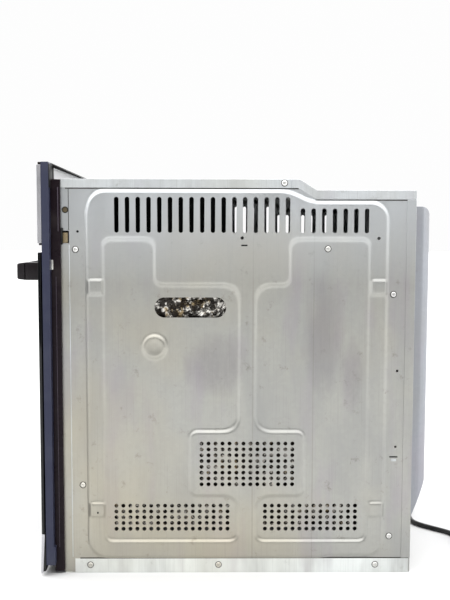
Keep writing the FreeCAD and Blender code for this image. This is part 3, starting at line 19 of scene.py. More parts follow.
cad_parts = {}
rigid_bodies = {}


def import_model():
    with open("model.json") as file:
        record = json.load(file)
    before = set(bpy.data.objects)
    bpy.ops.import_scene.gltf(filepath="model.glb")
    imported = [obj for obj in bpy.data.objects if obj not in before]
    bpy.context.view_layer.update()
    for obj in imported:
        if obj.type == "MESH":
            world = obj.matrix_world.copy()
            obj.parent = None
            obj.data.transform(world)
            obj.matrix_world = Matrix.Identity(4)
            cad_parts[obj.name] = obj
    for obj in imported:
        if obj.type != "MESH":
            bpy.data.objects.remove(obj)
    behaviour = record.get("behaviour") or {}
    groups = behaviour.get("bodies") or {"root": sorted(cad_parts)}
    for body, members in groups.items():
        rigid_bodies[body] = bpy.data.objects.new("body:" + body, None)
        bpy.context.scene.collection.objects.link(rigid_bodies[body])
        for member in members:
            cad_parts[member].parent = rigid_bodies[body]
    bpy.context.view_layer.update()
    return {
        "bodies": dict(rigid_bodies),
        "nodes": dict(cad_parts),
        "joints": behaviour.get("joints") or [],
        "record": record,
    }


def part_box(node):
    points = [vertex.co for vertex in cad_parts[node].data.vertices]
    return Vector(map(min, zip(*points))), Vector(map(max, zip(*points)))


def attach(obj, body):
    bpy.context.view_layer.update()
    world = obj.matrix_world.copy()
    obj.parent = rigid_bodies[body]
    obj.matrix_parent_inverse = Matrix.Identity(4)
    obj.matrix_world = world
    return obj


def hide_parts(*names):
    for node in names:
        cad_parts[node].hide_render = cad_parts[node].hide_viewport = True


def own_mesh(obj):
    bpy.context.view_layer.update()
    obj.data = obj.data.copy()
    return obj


MM = 0.001
SAME_SPOT = 1e-6    # metres under which two points are one
SIDES = ((1, "right"), (-1, "left"))
LOG = logging.getLogger("wall_oven")

Mesh = bmesh.types.BMesh
Socket = bpy.types.NodeSocket
Stops = Sequence[tuple[float, float]]


# ---------------------------------------------------------------- small helpers
def mm(*sizes: float) -> tuple[float, ...]:
    """Turn millimetres into metres."""
    return tuple(size * MM for size in sizes)


def linear(code: str) -> tuple[float, float, float, float]:
    """Turn an sRGB hex code into a linear colour.

    Args:
        code: six hex digits.

    Returns:
        Red, green, blue and alpha.
    """
    parts = [int(code[index:index + 2], 16) / 255 for index in (0, 2, 4)]
    red, green, blue = (part / 12.92 if part <= 0.04045 else ((part + 0.055) / 1.055) ** 2.4 for part in parts)
    return red, green, blue, 1.0


def grey(level: float) -> tuple[float, float, float, float]:
    """A linear grey as a colour."""
    return level, level, level, 1.0


def add_node(tree: bpy.types.NodeTree, kind: str, inputs: dict, stops: Stops = (), **settings: object,
             ) -> bpy.types.Node:
    """Add a shader node with its settings, values and links.

    Args:
        tree: the node tree.
        kind: the node's type without its ShaderNode prefix.
        inputs: a socket to link or a value to set, by the name or number of the input.
        stops: two places of a ramp with their greys.
        settings: the node's own properties.

    Returns:
        The new node.
    """
    node = tree.nodes.new("ShaderNode" + kind)
    for name, value in settings.items():
        setattr(node, name, value)
    for index, (place, level) in enumerate(stops):
        node.color_ramp.elements[index].position = place
        node.color_ramp.elements[index].color = grey(level)
    for name, value in inputs.items():
        if isinstance(value, Socket):
            tree.links.new(value, node.inputs[name])
        else:
            node.inputs[name].default_value = value
    return node


class Paint:
    """The nodes of one material: its tree, its shader and the piece's own coordinates."""

    def __init__(self, material: bpy.types.Material, values: dict[str, object]) -> None:
        """Start the tree with a shader.

        Args:
            material: the material, empty so far.
            values: plain values of the shader's inputs.
        """
        material.use_nodes = True
        self.tree = material.node_tree
        self.tree.nodes.clear()
        self.shader = self.add("BsdfPrincipled", values)
        self.add("OutputMaterial", {"Surface": self.shader.outputs["BSDF"]})
        self.position = self.add("TexCoord", {}).outputs["Object"]

    def add(self, kind: str, inputs: dict, stops: Stops = (), **settings: object) -> bpy.types.Node:
        """Add a node to this tree, as add_node does."""
        return add_node(self.tree, kind, inputs, stops, **settings)

    @cached_property
    def axes(self) -> bpy.types.NodeOutputs:
        """The coordinates, one socket an axis."""
        return self.add("SeparateXYZ", {"Vector": self.position}).outputs

    def grain(self, size: float, detail: float = 4.0, stretch: tuple[float, float, float] = (1.0, 1.0, 1.0),
              rough: float = 0.55) -> Socket:
        """Read a cloudy pattern whose grain is a real size.

        Args:
            size: grain in metres.
            detail: octaves.
            stretch: how much longer the grain is along each axis.
            rough: weight of the finer octaves.

        Returns:
            The factor socket.
        """
        place = self.add("Mapping", {"Vector": self.position, "Scale": tuple(1.0 / (size * part) for part in stretch)})
        texture = self.add("TexNoise", {"Vector": place.outputs[0], "Scale": 1.0, "Detail": detail, "Roughness": rough})
        return texture.outputs["Fac"]

    def layer(self, base: object, mask: Socket | float, over: object, stops: Stops = (), mode: str = "MIX") -> Socket:
        """Lay one colour over another where a mask lets it show.

        Args:
            base: the colour below, a socket or a hex code.
            mask: a socket, or one number for everywhere.
            over: the colour above, a socket or a hex code.
            stops: two places on the mask with how much shows there.
            mode: the way the colours mix.

        Returns:
            The colour socket.
        """
        if stops:
            mask = self.add("ValToRGB", {"Fac": mask}, stops).outputs[0]
        below, above = (linear(colour) if isinstance(colour, str) else colour for colour in (base, over))
        return self.add("Mix", {0: mask, 6: below, 7: above}, data_type="RGBA", blend_type=mode).outputs[2]

    def feed(self, colour: Socket, gloss: Socket, height: Socket | None = None, depth: float = 0.0) -> None:
        """Link the pattern to the shader.

        Args:
            colour: the colour socket.
            gloss: the roughness socket.
            height: the height socket, 0 to 1, if the surface is uneven.
            depth: height of 1 in metres.
        """
        links = {"Base Color": colour, "Roughness": gloss}
        if height:
            links["Normal"] = self.add("Bump", {"Height": height, "Strength": 1.0, "Distance": depth}).outputs[0]
        for name, socket in links.items():
            self.tree.links.new(socket, self.shader.inputs[name])


# ---------------------------------------------------------------- finishes
@dataclass(frozen=True)
class Finish:
    """A material with its base values; subclasses add the pattern."""

    name: str
    slot: str
    colour: str
    roughness: float
    metallic: float = 0.0
    shine: float = 0.5
    made: ClassVar[dict[str, bpy.types.Material]] = {}

    def material(self) -> bpy.types.Material:
        """Build the material once and return it."""
        if self.name not in Finish.made:
            made = bpy.data.materials.new(self.name)
            made.diffuse_color = linear(self.colour)
            self.pattern(Paint(made, {
                "Base Color": linear(self.colour), "Roughness": self.roughness, "Metallic": self.metallic,
                "Specular IOR Level": self.shine}))
            Finish.made[self.name] = made
        return Finish.made[self.name]

    def pattern(self, paint: Paint) -> None:
        """Add the finish's own pattern; the plain finish has none."""

    def gloss(self, paint: Paint, mask: Socket, start: float, less: float, end: float, more: float) -> Socket:
        """Let the roughness follow a mask.

        Args:
            paint: the material's nodes.
            mask: the socket to follow.
            start: the mask's value up to which the roughness is the base value less the next number.
            less: that number.
            end: the mask's value from which the roughness is the base value and the next number.
            more: that number.

        Returns:
            The roughness socket.
        """
        stops = ((start, self.roughness - less), (end, self.roughness + more))
        return paint.add("ValToRGB", {"Fac": mask}, stops).outputs[0]


@dataclass(frozen=True)
class ZincSheet(Finish):
    """Hot-dip galvanised sheet: faint spangle, upright smudges, hairline scratches and handling dirt."""

    dirt: float = 0.5
    warm: str = "b5ab90"

    def pattern(self, paint: Paint) -> None:
        """Spangle of 5 mm, wiped clouds of 70 mm standing upright, scratches of 1 mm, dirt of 20 mm."""
        spangle = paint.add("TexVoronoi", {"Vector": paint.position, "Scale": 200.0, "Randomness": 1.0})
        flake = paint.add("ValToRGB", {"Fac": spangle.outputs["Color"]}, ((0.0, 0.42), (1.0, 0.58))).outputs[0]
        smudge = paint.grain(0.075, 4.0, (0.7, 0.6, 2.0), 0.5)
        purple = paint.grain(0.06, 3.0, (3.0, 0.55, 2.2), 0.45)
        streak = paint.grain(0.0011, 2.0, (1.0, 1.0, 90.0), 0.5)
        cloud = paint.grain(0.19, 2.0)
        grime = paint.grain(0.02, 8.0, rough=0.72)
        base = paint.layer(self.colour, 0.2, flake, mode="OVERLAY")
        for mask, colour, start, end, strength in (
                (smudge, "999a99", 0.42, 0.68, 0.6), (purple, "9c969e", 0.54, 0.76, 0.5),
                (cloud, self.warm, 0.4, 0.75, 0.5), (streak, "8c8b88", 0.56, 0.8, 0.32),
                (grime, "5d5548", 0.6, 0.74, self.dirt)):
            base = paint.layer(base, mask, colour, ((start, 0.0), (end, strength)))
        gloss = paint.layer(self.gloss(paint, smudge, 0.3, 0.07, 0.75, 0.12), 0.4,
                            self.gloss(paint, streak, 0.2, 0.05, 0.8, 0.12))
        paint.feed(base, gloss, paint.layer(paint.grain(0.0016, 2.0), 0.75, cloud), 0.0001)


@dataclass(frozen=True)
class HandledSheet(ZincSheet):
    """Zinc sheet of the sides: rubbed dark where it was gripped, with a painted highlight towards the top and two
    scored lines.
    """

    patches: tuple[tuple[float, float, float, float], ...] = (
        (0.124, 0.355, 0.05, 0.14), (-0.031, 0.315, 0.07, 0.07), (0.165, 0.3, 0.03, 0.08))
    scores: tuple[float, ...] = (0.021, 0.1095)
    score_width: float = 0.0012
    # Height where the painted highlight starts, and how far up it grows.
    highlight_from: float = 0.43
    highlight_over: float = 0.16

    def pattern(self, paint: Paint) -> None:
        """Patches of 50 to 240 mm with ragged borders and scores 1.2 mm wide, over the sheet's own pattern."""
        super().pattern(paint)
        target = paint.shader.inputs["Base Color"]
        base = target.links[0].from_socket
        ragged = paint.grain(0.05, 5.0, (1.0, 0.7, 2.4), 0.7)
        for along, up, wide, tall in self.patches:
            edge = ragged
            for axis, middle, size in (("Y", along, wide), ("Z", up, tall)):
                off = self.scaled(paint, axis, middle, size)
                edge = paint.add("Math", {0: off, 1: off, 2: edge}, operation="MULTIPLY_ADD").outputs[0]
            base = paint.layer(base, edge, "746e76", ((0.3, 0.46), (1.0, 0.0)))
        for along in self.scores:
            off = self.scaled(paint, "Y", along, self.score_width)
            off = paint.add("Math", {0: off}, operation="ABSOLUTE").outputs[0]
            base = paint.layer(base, off, "77736c", ((0.5, 0.22), (0.9, 0.0)))
        # Painted highlight: the sheet turns pale blue-grey towards the top, as if lit from above.
        top = self.scaled(paint, "Z", self.highlight_from, self.highlight_over)
        paint.tree.links.new(paint.layer(base, top, "c6cacd", ((0.0, 0.0), (0.7, 0.8))), target)

    @staticmethod
    def scaled(paint: Paint, axis: str, middle: float, size: float) -> Socket:
        """How far a coordinate lies from a middle, in sizes."""
        less = paint.add("Math", {0: paint.axes[axis], 1: middle}, operation="SUBTRACT").outputs[0]
        return paint.add("Math", {0: less, 1: size}, operation="DIVIDE").outputs[0]


@dataclass(frozen=True)
class BrushedSteel(Finish):
    """Brushed stainless: hairlines along X that stretch the highlights."""

    def pattern(self, paint: Paint) -> None:
        """Hairlines 0.4 mm apart, drawn coarser than real so that they show, under finger marks of 60 mm."""
        lines = paint.grain(0.0004, 2.0, (60.0, 1.0, 1.0), 0.6)
        fingers = paint.grain(0.06, 4.0)
        gloss = paint.layer(self.gloss(paint, lines, 0.25, 0.08, 0.75, 0.1), 0.6,
                            self.gloss(paint, fingers, 0.35, 0.05, 0.7, 0.09))
        paint.feed(paint.layer(self.colour, lines, "f2f2f0", ((0.3, 0.0), (0.7, 0.35))), gloss, lines, 0.00002)


@dataclass(frozen=True)
class Enamel(Finish):
    """Stove enamel: glassy, slightly wavy, with fine pale flecks."""

    fleck: str = "8d8d94"
    flecks: float = 0.5

    def pattern(self, paint: Paint) -> None:
        """Flecks of 0.7 mm, orange peel of 3 mm and faint dust."""
        speck = paint.add("TexVoronoi", {"Vector": paint.position, "Scale": 520.0, "Randomness": 1.0})
        base = paint.layer(self.colour, speck.outputs["Distance"], self.fleck, ((0.12, self.flecks), (0.2, 0.0)))
        dust = paint.grain(0.05, 6.0, rough=0.65)
        base = paint.layer(base, dust, "8a837b", ((0.5, 0.0), (0.85, 0.08)))
        paint.feed(base, self.gloss(paint, dust, 0.4, 0.0, 0.8, 0.2), paint.grain(0.003, 2.0), 0.00006)


@dataclass(frozen=True)
class Moulded(Finish):
    """Injection-moulded plastic, paint or rubber: fine spark-eroded grain and soft rubbed patches."""

    grain: float = 0.0007

    def pattern(self, paint: Paint) -> None:
        """Grain of under a millimetre and rubbed patches of 40 mm."""
        rub = paint.grain(0.04, 5.0)
        lighter = paint.layer(self.colour, 0.03, "ffffff")
        base = paint.layer(self.colour, rub, lighter, ((0.45, 0.0), (0.8, 0.6)))
        paint.feed(base, self.gloss(paint, rub, 0.3, -0.05, 0.75, -0.1), paint.grain(self.grain, 2.0), 0.00006)


@dataclass(frozen=True)
class PrintedGlass(Finish):
    """Toughened glass, clear all over or with a ceramic print round a tinted window."""

    half: float = 0.2
    low: float = 0.085
    high: float = 0.42
    fade: float = 45.0
    clear: bool = False

    def pattern(self, paint: Paint) -> None:
        """Print dots of 1.6 mm fade out towards the window; wipe marks of 70 mm change the gloss."""
        gloss = self.gloss(paint, paint.grain(0.07, 5.0, (1.6, 1.0, 0.6)), 0.4, 0.0, 0.8, 0.07)
        clearness = paint.shader.inputs["Transmission Weight"]
        if self.clear:
            paint.tree.links.new(gloss, paint.shader.inputs["Roughness"])
            clearness.default_value = 0.92
            return
        outside = {}
        for index, (axis, middle, half) in enumerate((
                ("X", 0.0, self.half), ("Z", (self.low + self.high) / 2, (self.high - self.low) / 2))):
            off = paint.add("Math", {0: paint.axes[axis], 1: middle}, operation="SUBTRACT").outputs[0]
            off = paint.add("Math", {0: off}, operation="ABSOLUTE").outputs[0]
            outside[index] = paint.add("Math", {0: off, 1: half}, operation="SUBTRACT").outputs[0]
        edge = paint.add("Math", outside, operation="MAXIMUM").outputs[0]
        reach = paint.add("Math", {0: edge, 1: self.fade, 2: 0.5}, operation="MULTIPLY_ADD").outputs[0]
        dots = paint.add("TexVoronoi", {"Vector": paint.position, "Scale": 420.0, "Randomness": 0.0})
        cover = paint.add("Math", {0: reach, 1: dots.outputs["Distance"]}, operation="SUBTRACT").outputs[0]
        printed = paint.add("ValToRGB", {"Fac": cover}, ((0.46, 0.0), (0.54, 1.0))).outputs[0]
        seen = paint.add("ValToRGB", {"Fac": printed}, ((0.0, 0.72), (1.0, 0.0))).outputs[0]
        paint.tree.links.new(seen, clearness)
        paint.feed(paint.layer("3c4248", printed, self.colour), gloss)


@dataclass(frozen=True)
class WireFinish(Finish):
    """Bright plated wire, or sheathed heating tube with heat colours."""

    tint: str = "6b4a2c"
    strength: float = 0.2

    def pattern(self, paint: Paint) -> None:
        """Heat or use tints in patches of 30 mm."""
        patch = paint.grain(0.03, 4.0)
        base = paint.layer(self.colour, patch, self.tint, ((0.45, 0.0), (0.75, self.strength)))
        paint.feed(base, self.gloss(paint, patch, 0.3, 0.0, 0.8, 0.18))


@dataclass(frozen=True)
class Foil(Finish):
    """Aluminium foil over mineral wool: crumpled mirror facets with golden patches and black ones, which are painted
    dark reflections.
    """

    stained: float = 0.85

    def pattern(self, paint: Paint) -> None:
        """Creases of 9 and 2 mm; binder stains of 20 mm show through as ochre; black patches of 11 mm are painted dark
        reflections.
        """
        stain = paint.grain(0.018, 6.0, rough=0.75)
        dark_reflection = paint.grain(0.011, 5.0, rough=0.7)
        base = paint.layer(self.colour, stain, "8a7344", ((0.5, 0.0), (0.58, self.stained)))
        # Painted dark reflections: near-black patches over the foil.
        base = paint.layer(base, dark_reflection, "17130f", ((0.42, 0.0), (0.5, 0.97)))
        paint.tree.links.new(base, paint.shader.inputs["Base Color"])
        crease = paint.add("TexVoronoi", {"Vector": paint.position, "Scale": 110.0}, feature="DISTANCE_TO_EDGE")
        height = paint.layer(crease.outputs["Distance"], 0.35, paint.grain(0.002, 3.0))
        bump = paint.add("Bump", {"Height": height, "Strength": 1.0, "Distance": 0.0014})
        paint.tree.links.new(bump.outputs[0], paint.shader.inputs["Normal"])


class Finishes:
    """Every finish of the oven, by what it is; the first one of a slot dresses the frame's own nodes."""

    # Galvanised sheet of the sides: light grey, dull sheen, upright smudges.
    casing = HandledSheet("galvanised_sheet", "galvanised_steel", "a6a6a1", 0.34, 0.92)
    # Cleaner zinc sheet of the rear cover and the back.
    cover = ZincSheet("clean_zinc_sheet", "cover_steel", "9a9da3", 0.46, 0.75, dirt=0.2, warm="9aa0aa")
    # Flanges of the covers, the fold bead and the rear dent: the same sheet made brighter, a painted highlight.
    flange = ZincSheet("painted_highlight_zinc_flange", "galvanised_steel", "c4c8ca", 0.4, 0.6, dirt=0.4, warm="c6c6b6")
    # Turned-up edge of the base: the brightest sheet, a painted highlight.
    rail = ZincSheet("painted_highlight_base_rail", "galvanised_steel", "e2e6e4", 0.4, 0.55, dirt=0.3, warm="dadace")
    # Satin black enamel of the front frame: purple-brown where light grazes it.
    frame = Enamel("satin_black_enamel", "black_enamel", "150c12", 0.24, shine=0.13, flecks=0.1, fleck="3c3742")
    # Speckled grey-black enamel of the cooking space.
    cavity = Enamel("speckled_enamel", "cavity_enamel", "23242a", 0.26, flecks=0.75, fleck="a2a4ac")
    # Blue-black painted trims: a dull navy beside the black frame.
    trim = Moulded("blue_black_painted_trim", "dark_trim", "272a3d", 0.4, shine=0.3, grain=0.0012)
    # Brushed stainless of the fascia and the bottom trim: bright bands along the grain.
    steel = BrushedSteel("brushed_stainless", "fascia_steel", "a6a6ac", 0.3, 1.0)
    # Moulded ABS of the handle and knobs: a soft, almost black sheen.
    plastic = Moulded("moulded_black_abs", "black_plastic", "100a0e", 0.34, shine=0.25)
    # Glass of the door and the clock: black print with a mirror's edge, and a smoky window.
    glass = PrintedGlass("dark_printed_glass", "door_glass", "08090b", 0.03, shine=0.35)
    pane = PrintedGlass("clear_toughened_glass", "clear_glass", "dfe6e4", 0.02, clear=True)
    # Zinc-plated hinges, springs and plug pins: plain grey metal.
    hinge = ZincSheet("zinc_plated_steel", "hinge_steel", "a9a9a6", 0.36, 0.95, dirt=0.3)
    # Chromed wire of the shelf and its racks: thin bright lines in the dark.
    wire = WireFinish("bright_chrome_wire", "chrome_wire", "dcdce0", 0.12, 1.0, strength=0.15)
    # Sheathed heating tube: dark steel with brown heat colours.
    element = WireFinish("sheathed_heating_tube", "element_steel", "4b4846", 0.42, 0.9, strength=0.6)
    # Loose foil round the wool: bright folds with ochre hollows and black patches of painted dark reflection.
    foil = Foil("crumpled_foil", "blanket", "d9d6cf", 0.18, 0.95)
    # Passivated zinc of the screws: nearly white.
    screw = ZincSheet("zinc_plated_screw", "hinge_steel", "ecece8", 0.26, 0.8, dirt=0.15)
    # Black screen print of the dial marks, flat against the brushed steel, and the clock's pale bars.
    ink = Moulded("black_screen_print", "fascia_steel", "1c1c1e", 0.5, shine=0.3)
    lit = Moulded("pale_green_bars", "clear_glass", "bfe8cf", 0.4)
    # Painted highlights along the frame's ridge and edge: a dull mauve line on the black.
    ridge = Moulded("painted_highlight_enamel_edge", "black_enamel", "3a303c", 0.4)
    # Lacquered brass-brown latch behind the notch.
    latch = Moulded("lacquered_brown_latch", "hinge_steel", "7d6f52", 0.4)
    # Chalky white primer of the housing behind the fascia, and a grimy dark grey: painted shadow under the flanges,
    # along the rail and the upper fold and round the screws, and mastic round the bushes.
    pale = Moulded("white_primer", "black_enamel", "e4e4e6", 0.6)
    mastic = Moulded("painted_shadow_and_mastic", "seal_rubber", "24221d", 0.8)
    # Mineral wool wrapped in foil: like the foil, duller.
    blanket = Foil("foil_faced_mineral_wool", "blanket", "d8d4c8", 0.22, 0.9)
    # Silicone of the door seal: flat black; also painted shade as the plate behind the trims and the slits and holes of
    # the sides.
    seal = Moulded("black_silicone_and_painted_shade", "seal_rubber", "101010", 0.6, shine=0.2)
    # Plated cans of the motors and switches.
    motor = ZincSheet("plated_motor_steel", "motor_metal", "8f8f92", 0.38, 0.9, dirt=0.3)
    # Rubber sheath of the lead: black with a grey bloom; also the black of the trim liner, painted shade.
    rubber = Moulded("black_rubber_and_painted_shade", "lead_rubber", "101011", 0.5, shine=0.3, grain=0.0009)

    @classmethod
    def by_slot(cls) -> dict[str, Finish]:
        """Finishes by the name of the slot that they serve."""
        found = [value for value in vars(cls).values() if isinstance(value, Finish)]
        return {finish.slot: finish for finish in reversed(found)}


# ---------------------------------------------------------------- pieces
def make_piece(name: str, bm: Mesh, finish: Finish, body: str = "root", stands_for: Iterable[str] = (),
               smooth: float | None = 40.0) -> bpy.types.Object:
    """Turn a finished bmesh into a piece of the oven.

    Args:
        name: the piece's name.
        bm: its mesh, freed here.
        finish: its material.
        body: the body that it rides on.
        stands_for: frame nodes that it replaces.
        smooth: angle in degrees under which edges look round, or None for flat faces.

    Returns:
        The piece.
    """
    mesh = bpy.data.meshes.new(name)
    bm.to_mesh(mesh)
    bm.free()
    piece = bpy.data.objects.new(name, mesh)
    bpy.context.scene.collection.objects.link(piece)
    mesh.materials.append(finish.material())
    if smooth is not None:
        mesh.shade_smooth()
        mesh.set_sharp_from_angle(angle=math.radians(smooth))
    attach(piece, body)
    if stands_for:
        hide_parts(*stands_for)
    LOG.info("%s: %d faces on %s", name, len(mesh.polygons), body)
    return piece


def node_copy(frame: dict, node: str) -> Mesh:
    """Copy a frame node's mesh with its doubles merged and its flat faces joined.

    Args:
        frame: the loaded frame.
        node: the node's name.

    Returns:
        A bmesh with large flat faces.
    """
    bm = bmesh.new()
    bm.from_mesh(frame["nodes"][node].data)
    bmesh.ops.remove_doubles(bm, verts=bm.verts, dist=0.002 * MM)
    bmesh.ops.dissolve_limit(bm, angle_limit=math.radians(0.6), verts=bm.verts, edges=bm.edges)
    return bm


def ease_edges(bm: Mesh, width: float, segments: int = 2, least: float = 25.0) -> None:
    """Round the sharp edges of a mesh.

    Args:
        bm: the mesh.
        width: how far the rounding reaches from the edge, in metres.
        segments: faces across the rounding.
        least: least angle in degrees between two faces for their edge to be rounded.
    """
    limit = math.radians(least)
    edges = [edge for edge in bm.edges if len(edge.link_faces) == 2 and edge.calc_face_angle(0.0) > limit]
    bmesh.ops.bevel(bm, geom=edges, offset=width, offset_type="OFFSET", segments=segments, profile=0.5,
                    affect="EDGES", clamp_overlap=False, material=-1, harden_normals=False)


def turned(profile: Sequence[tuple[float, float]], steps: int = 40) -> Mesh:
    """Turn a profile round the Z axis.

    Args:
        profile: radius and height of each point, in metres, from the bottom of the outside to its top.
        steps: faces round the axis.

    Returns:
        A closed mesh.
    """
    bm = bmesh.new()
    verts = [bm.verts.new((radius, 0.0, height)) for radius, height in profile]
    edges = [bm.edges.new(pair) for pair in zip(verts, verts[1:])]
    bmesh.ops.spin(bm, geom=verts + edges, cent=(0, 0, 0), axis=(0, 0, 1), angle=math.tau, steps=steps,
                   use_merge=True, use_duplicate=False)
    bmesh.ops.remove_doubles(bm, verts=bm.verts, dist=SAME_SPOT)
    bmesh.ops.recalc_face_normals(bm, faces=bm.faces)
    return bm


def block(low: Sequence[float], high: Sequence[float], width: float = 0.0, segments: int = 2) -> Mesh:
    """Make a box between two corners with rounded edges.

    Args:
        low: lowest corner in metres.
        high: highest corner.
        width: how far the rounding reaches.
        segments: faces across the rounding.

    Returns:
        The mesh.
    """
    bm = bmesh.new()
    bmesh.ops.create_cube(bm, size=1.0)
    bmesh.ops.scale(bm, vec=[end - start for start, end in zip(low, high)], verts=bm.verts)
    bmesh.ops.translate(bm, vec=[(start + end) / 2 for start, end in zip(low, high)], verts=bm.verts)
    if width:
        ease_edges(bm, width, segments)
    return bm


def sheet_grid(across: int, up: int, wide: float, tall: float) -> Mesh:
    """Lay a flat grid round the origin of the XY plane.

    Args:
        across: cells along X.
        up: cells along Y.
        wide: size along X.
        tall: size along Y.

    Returns:
        The open sheet.
    """
    bm = bmesh.new()
    bmesh.ops.create_grid(bm, x_segments=across, y_segments=up, size=0.5)
    bmesh.ops.scale(bm, vec=(wide, tall, 1.0), verts=bm.verts)
    return bm


def raised(bm: Mesh, rise: float) -> Mesh:
    """Extrude an open sheet along Z into a closed one, and return it."""
    copy = bmesh.ops.extrude_face_region(bm, geom=bm.faces[:])["geom"]
    bmesh.ops.translate(bm, vec=(0, 0, rise), verts=[item for item in copy if isinstance(item, bmesh.types.BMVert)])
    bmesh.ops.recalc_face_normals(bm, faces=bm.faces)
    return bm


def gather(parts: Iterable[Mesh]) -> Mesh:
    """Put several meshes into one and free them."""
    whole = bmesh.new()
    for part in parts:
        mesh = bpy.data.meshes.new("part")
        part.to_mesh(mesh)
        part.free()
        whole.from_mesh(mesh)
        bpy.data.meshes.remove(mesh)
    return whole


def moved(bm: Mesh, *steps: Matrix) -> Mesh:
    """Apply matrices in order and return the mesh."""
    for step in steps:
        bmesh.ops.transform(bm, matrix=step, verts=bm.verts)
    return bm


def snapped(bm: Mesh) -> Mesh:
    """Round the places of a mesh to a micrometre, so that parts that abut meet exactly, and return it."""
    for vert in bm.verts:
        vert.co = [round(part, 6) for part in vert.co]
    return bm


def mirrored(bm: Mesh) -> Mesh:
    """Mirror a mesh from the right to the left, faces still outwards, and return it."""
    bmesh.ops.scale(bm, vec=(-1, 1, 1), verts=bm.verts)
    bmesh.ops.reverse_faces(bm, faces=bm.faces)
    return bm


def at(*place: float) -> Matrix:
    """The move to a place given in millimetres."""
    return Matrix.Translation(mm(*place))


class Join(Enum):
    """What a second mesh does to the first."""

    TAKE = "DIFFERENCE"
    ADD = "UNION"


def joined(bm: Mesh, others: Iterable[Mesh], how: Join) -> Mesh:
    """Cut other meshes out of one, or weld them to it.

    Args:
        bm: the mesh to work on, freed here.
        others: the meshes to take out or add, freed here.
        how: which of the two.

    Returns:
        The new mesh.
    """
    holders = []
    for part in (bm, *others):
        mesh = bpy.data.meshes.new("working")
        part.to_mesh(mesh)
        part.free()
        holders.append(bpy.data.objects.new("working", mesh))
        bpy.context.scene.collection.objects.link(holders[-1])
    for holder in holders[1:]:
        tool = holders[0].modifiers.new(how.name, "BOOLEAN")
        tool.object = holder
        tool.operation = how.value
        tool.solver = "EXACT"
    result = evaluated(holders[0])
    for mesh in [holder.data for holder in holders]:
        bpy.data.meshes.remove(mesh)
    return result


def evaluated(holder: bpy.types.Object) -> Mesh:
    """The mesh of an object or curve with its modifiers applied."""
    mesh = bpy.data.meshes.new_from_object(holder.evaluated_get(bpy.context.evaluated_depsgraph_get()))
    bm = bmesh.new()
    bm.from_mesh(mesh)
    bpy.data.meshes.remove(mesh)
    return bm


def strand(name: str, points: Sequence[Sequence[float]], radius: float, along: int, around: int) -> bpy.types.Object:
    """Lay a round strand along one open spline.

    Args:
        name: the object's name.
        points: the spline's control points, in metres.
        radius: half the strand's thickness.
        along: steps from one control point to the next.
        around: how finely its section is divided.

    Returns:
        The curve object.
    """
    curve = bpy.data.curves.new(name, "CURVE")
    curve.dimensions = "3D"
    spline = curve.splines.new("NURBS")
    spline.points.add(len(points) - 1)
    for point, place in zip(spline.points, points):
        point.co = (*place, 1.0)
    spline.order_u = 3
    spline.use_endpoint_u = True
    spline.resolution_u = along
    curve.bevel_depth = radius
    curve.bevel_resolution = around
    curve.use_fill_caps = True
    holder = bpy.data.objects.new(name, curve)
    bpy.context.scene.collection.objects.link(holder)
    return holder


TURN_TO = {     # from +Z to the named direction
    "+X": Matrix.Rotation(math.pi / 2, 4, "Y"), "-X": Matrix.Rotation(-math.pi / 2, 4, "Y"),
    "+Y": Matrix.Rotation(-math.pi / 2, 4, "X"), "-Y": Matrix.Rotation(math.pi / 2, 4, "X"),
}


# ---------------------------------------------------------------- sides
def box_distance(along: float, up: float, low: Sequence[float], high: Sequence[float], corner: float) -> float:
    """Signed distance to a rectangle with round corners, negative inside."""
    out_a = abs(along - (low[0] + high[0]) / 2) - (high[0] - low[0]) / 2 + corner
    out_u = abs(up - (low[1] + high[1]) / 2) - (high[1] - low[1]) / 2 + corner
    return math.hypot(max(out_a, 0.0), max(out_u, 0.0)) + min(max(out_a, out_u), 0.0) - corner


def soft_least(first: float, second: float, reach: float) -> float:
    """The lesser of two distances, blended over a reach so that the inner corner is round."""
    share = max(reach - abs(first - second), 0.0) / reach
    return min(first, second) - share * share * reach * 0.25


def eased(share: float) -> float:
    """A share held between 0 and 1, level at both ends."""
    share = min(1.0, max(0.0, share))
    return share * share * (3 - 2 * share)


def swell(distance: float, width: float) -> float:
    """Height from 0 outside to 1 inside, easing over a wall's width."""
    return eased(0.5 - distance / width)


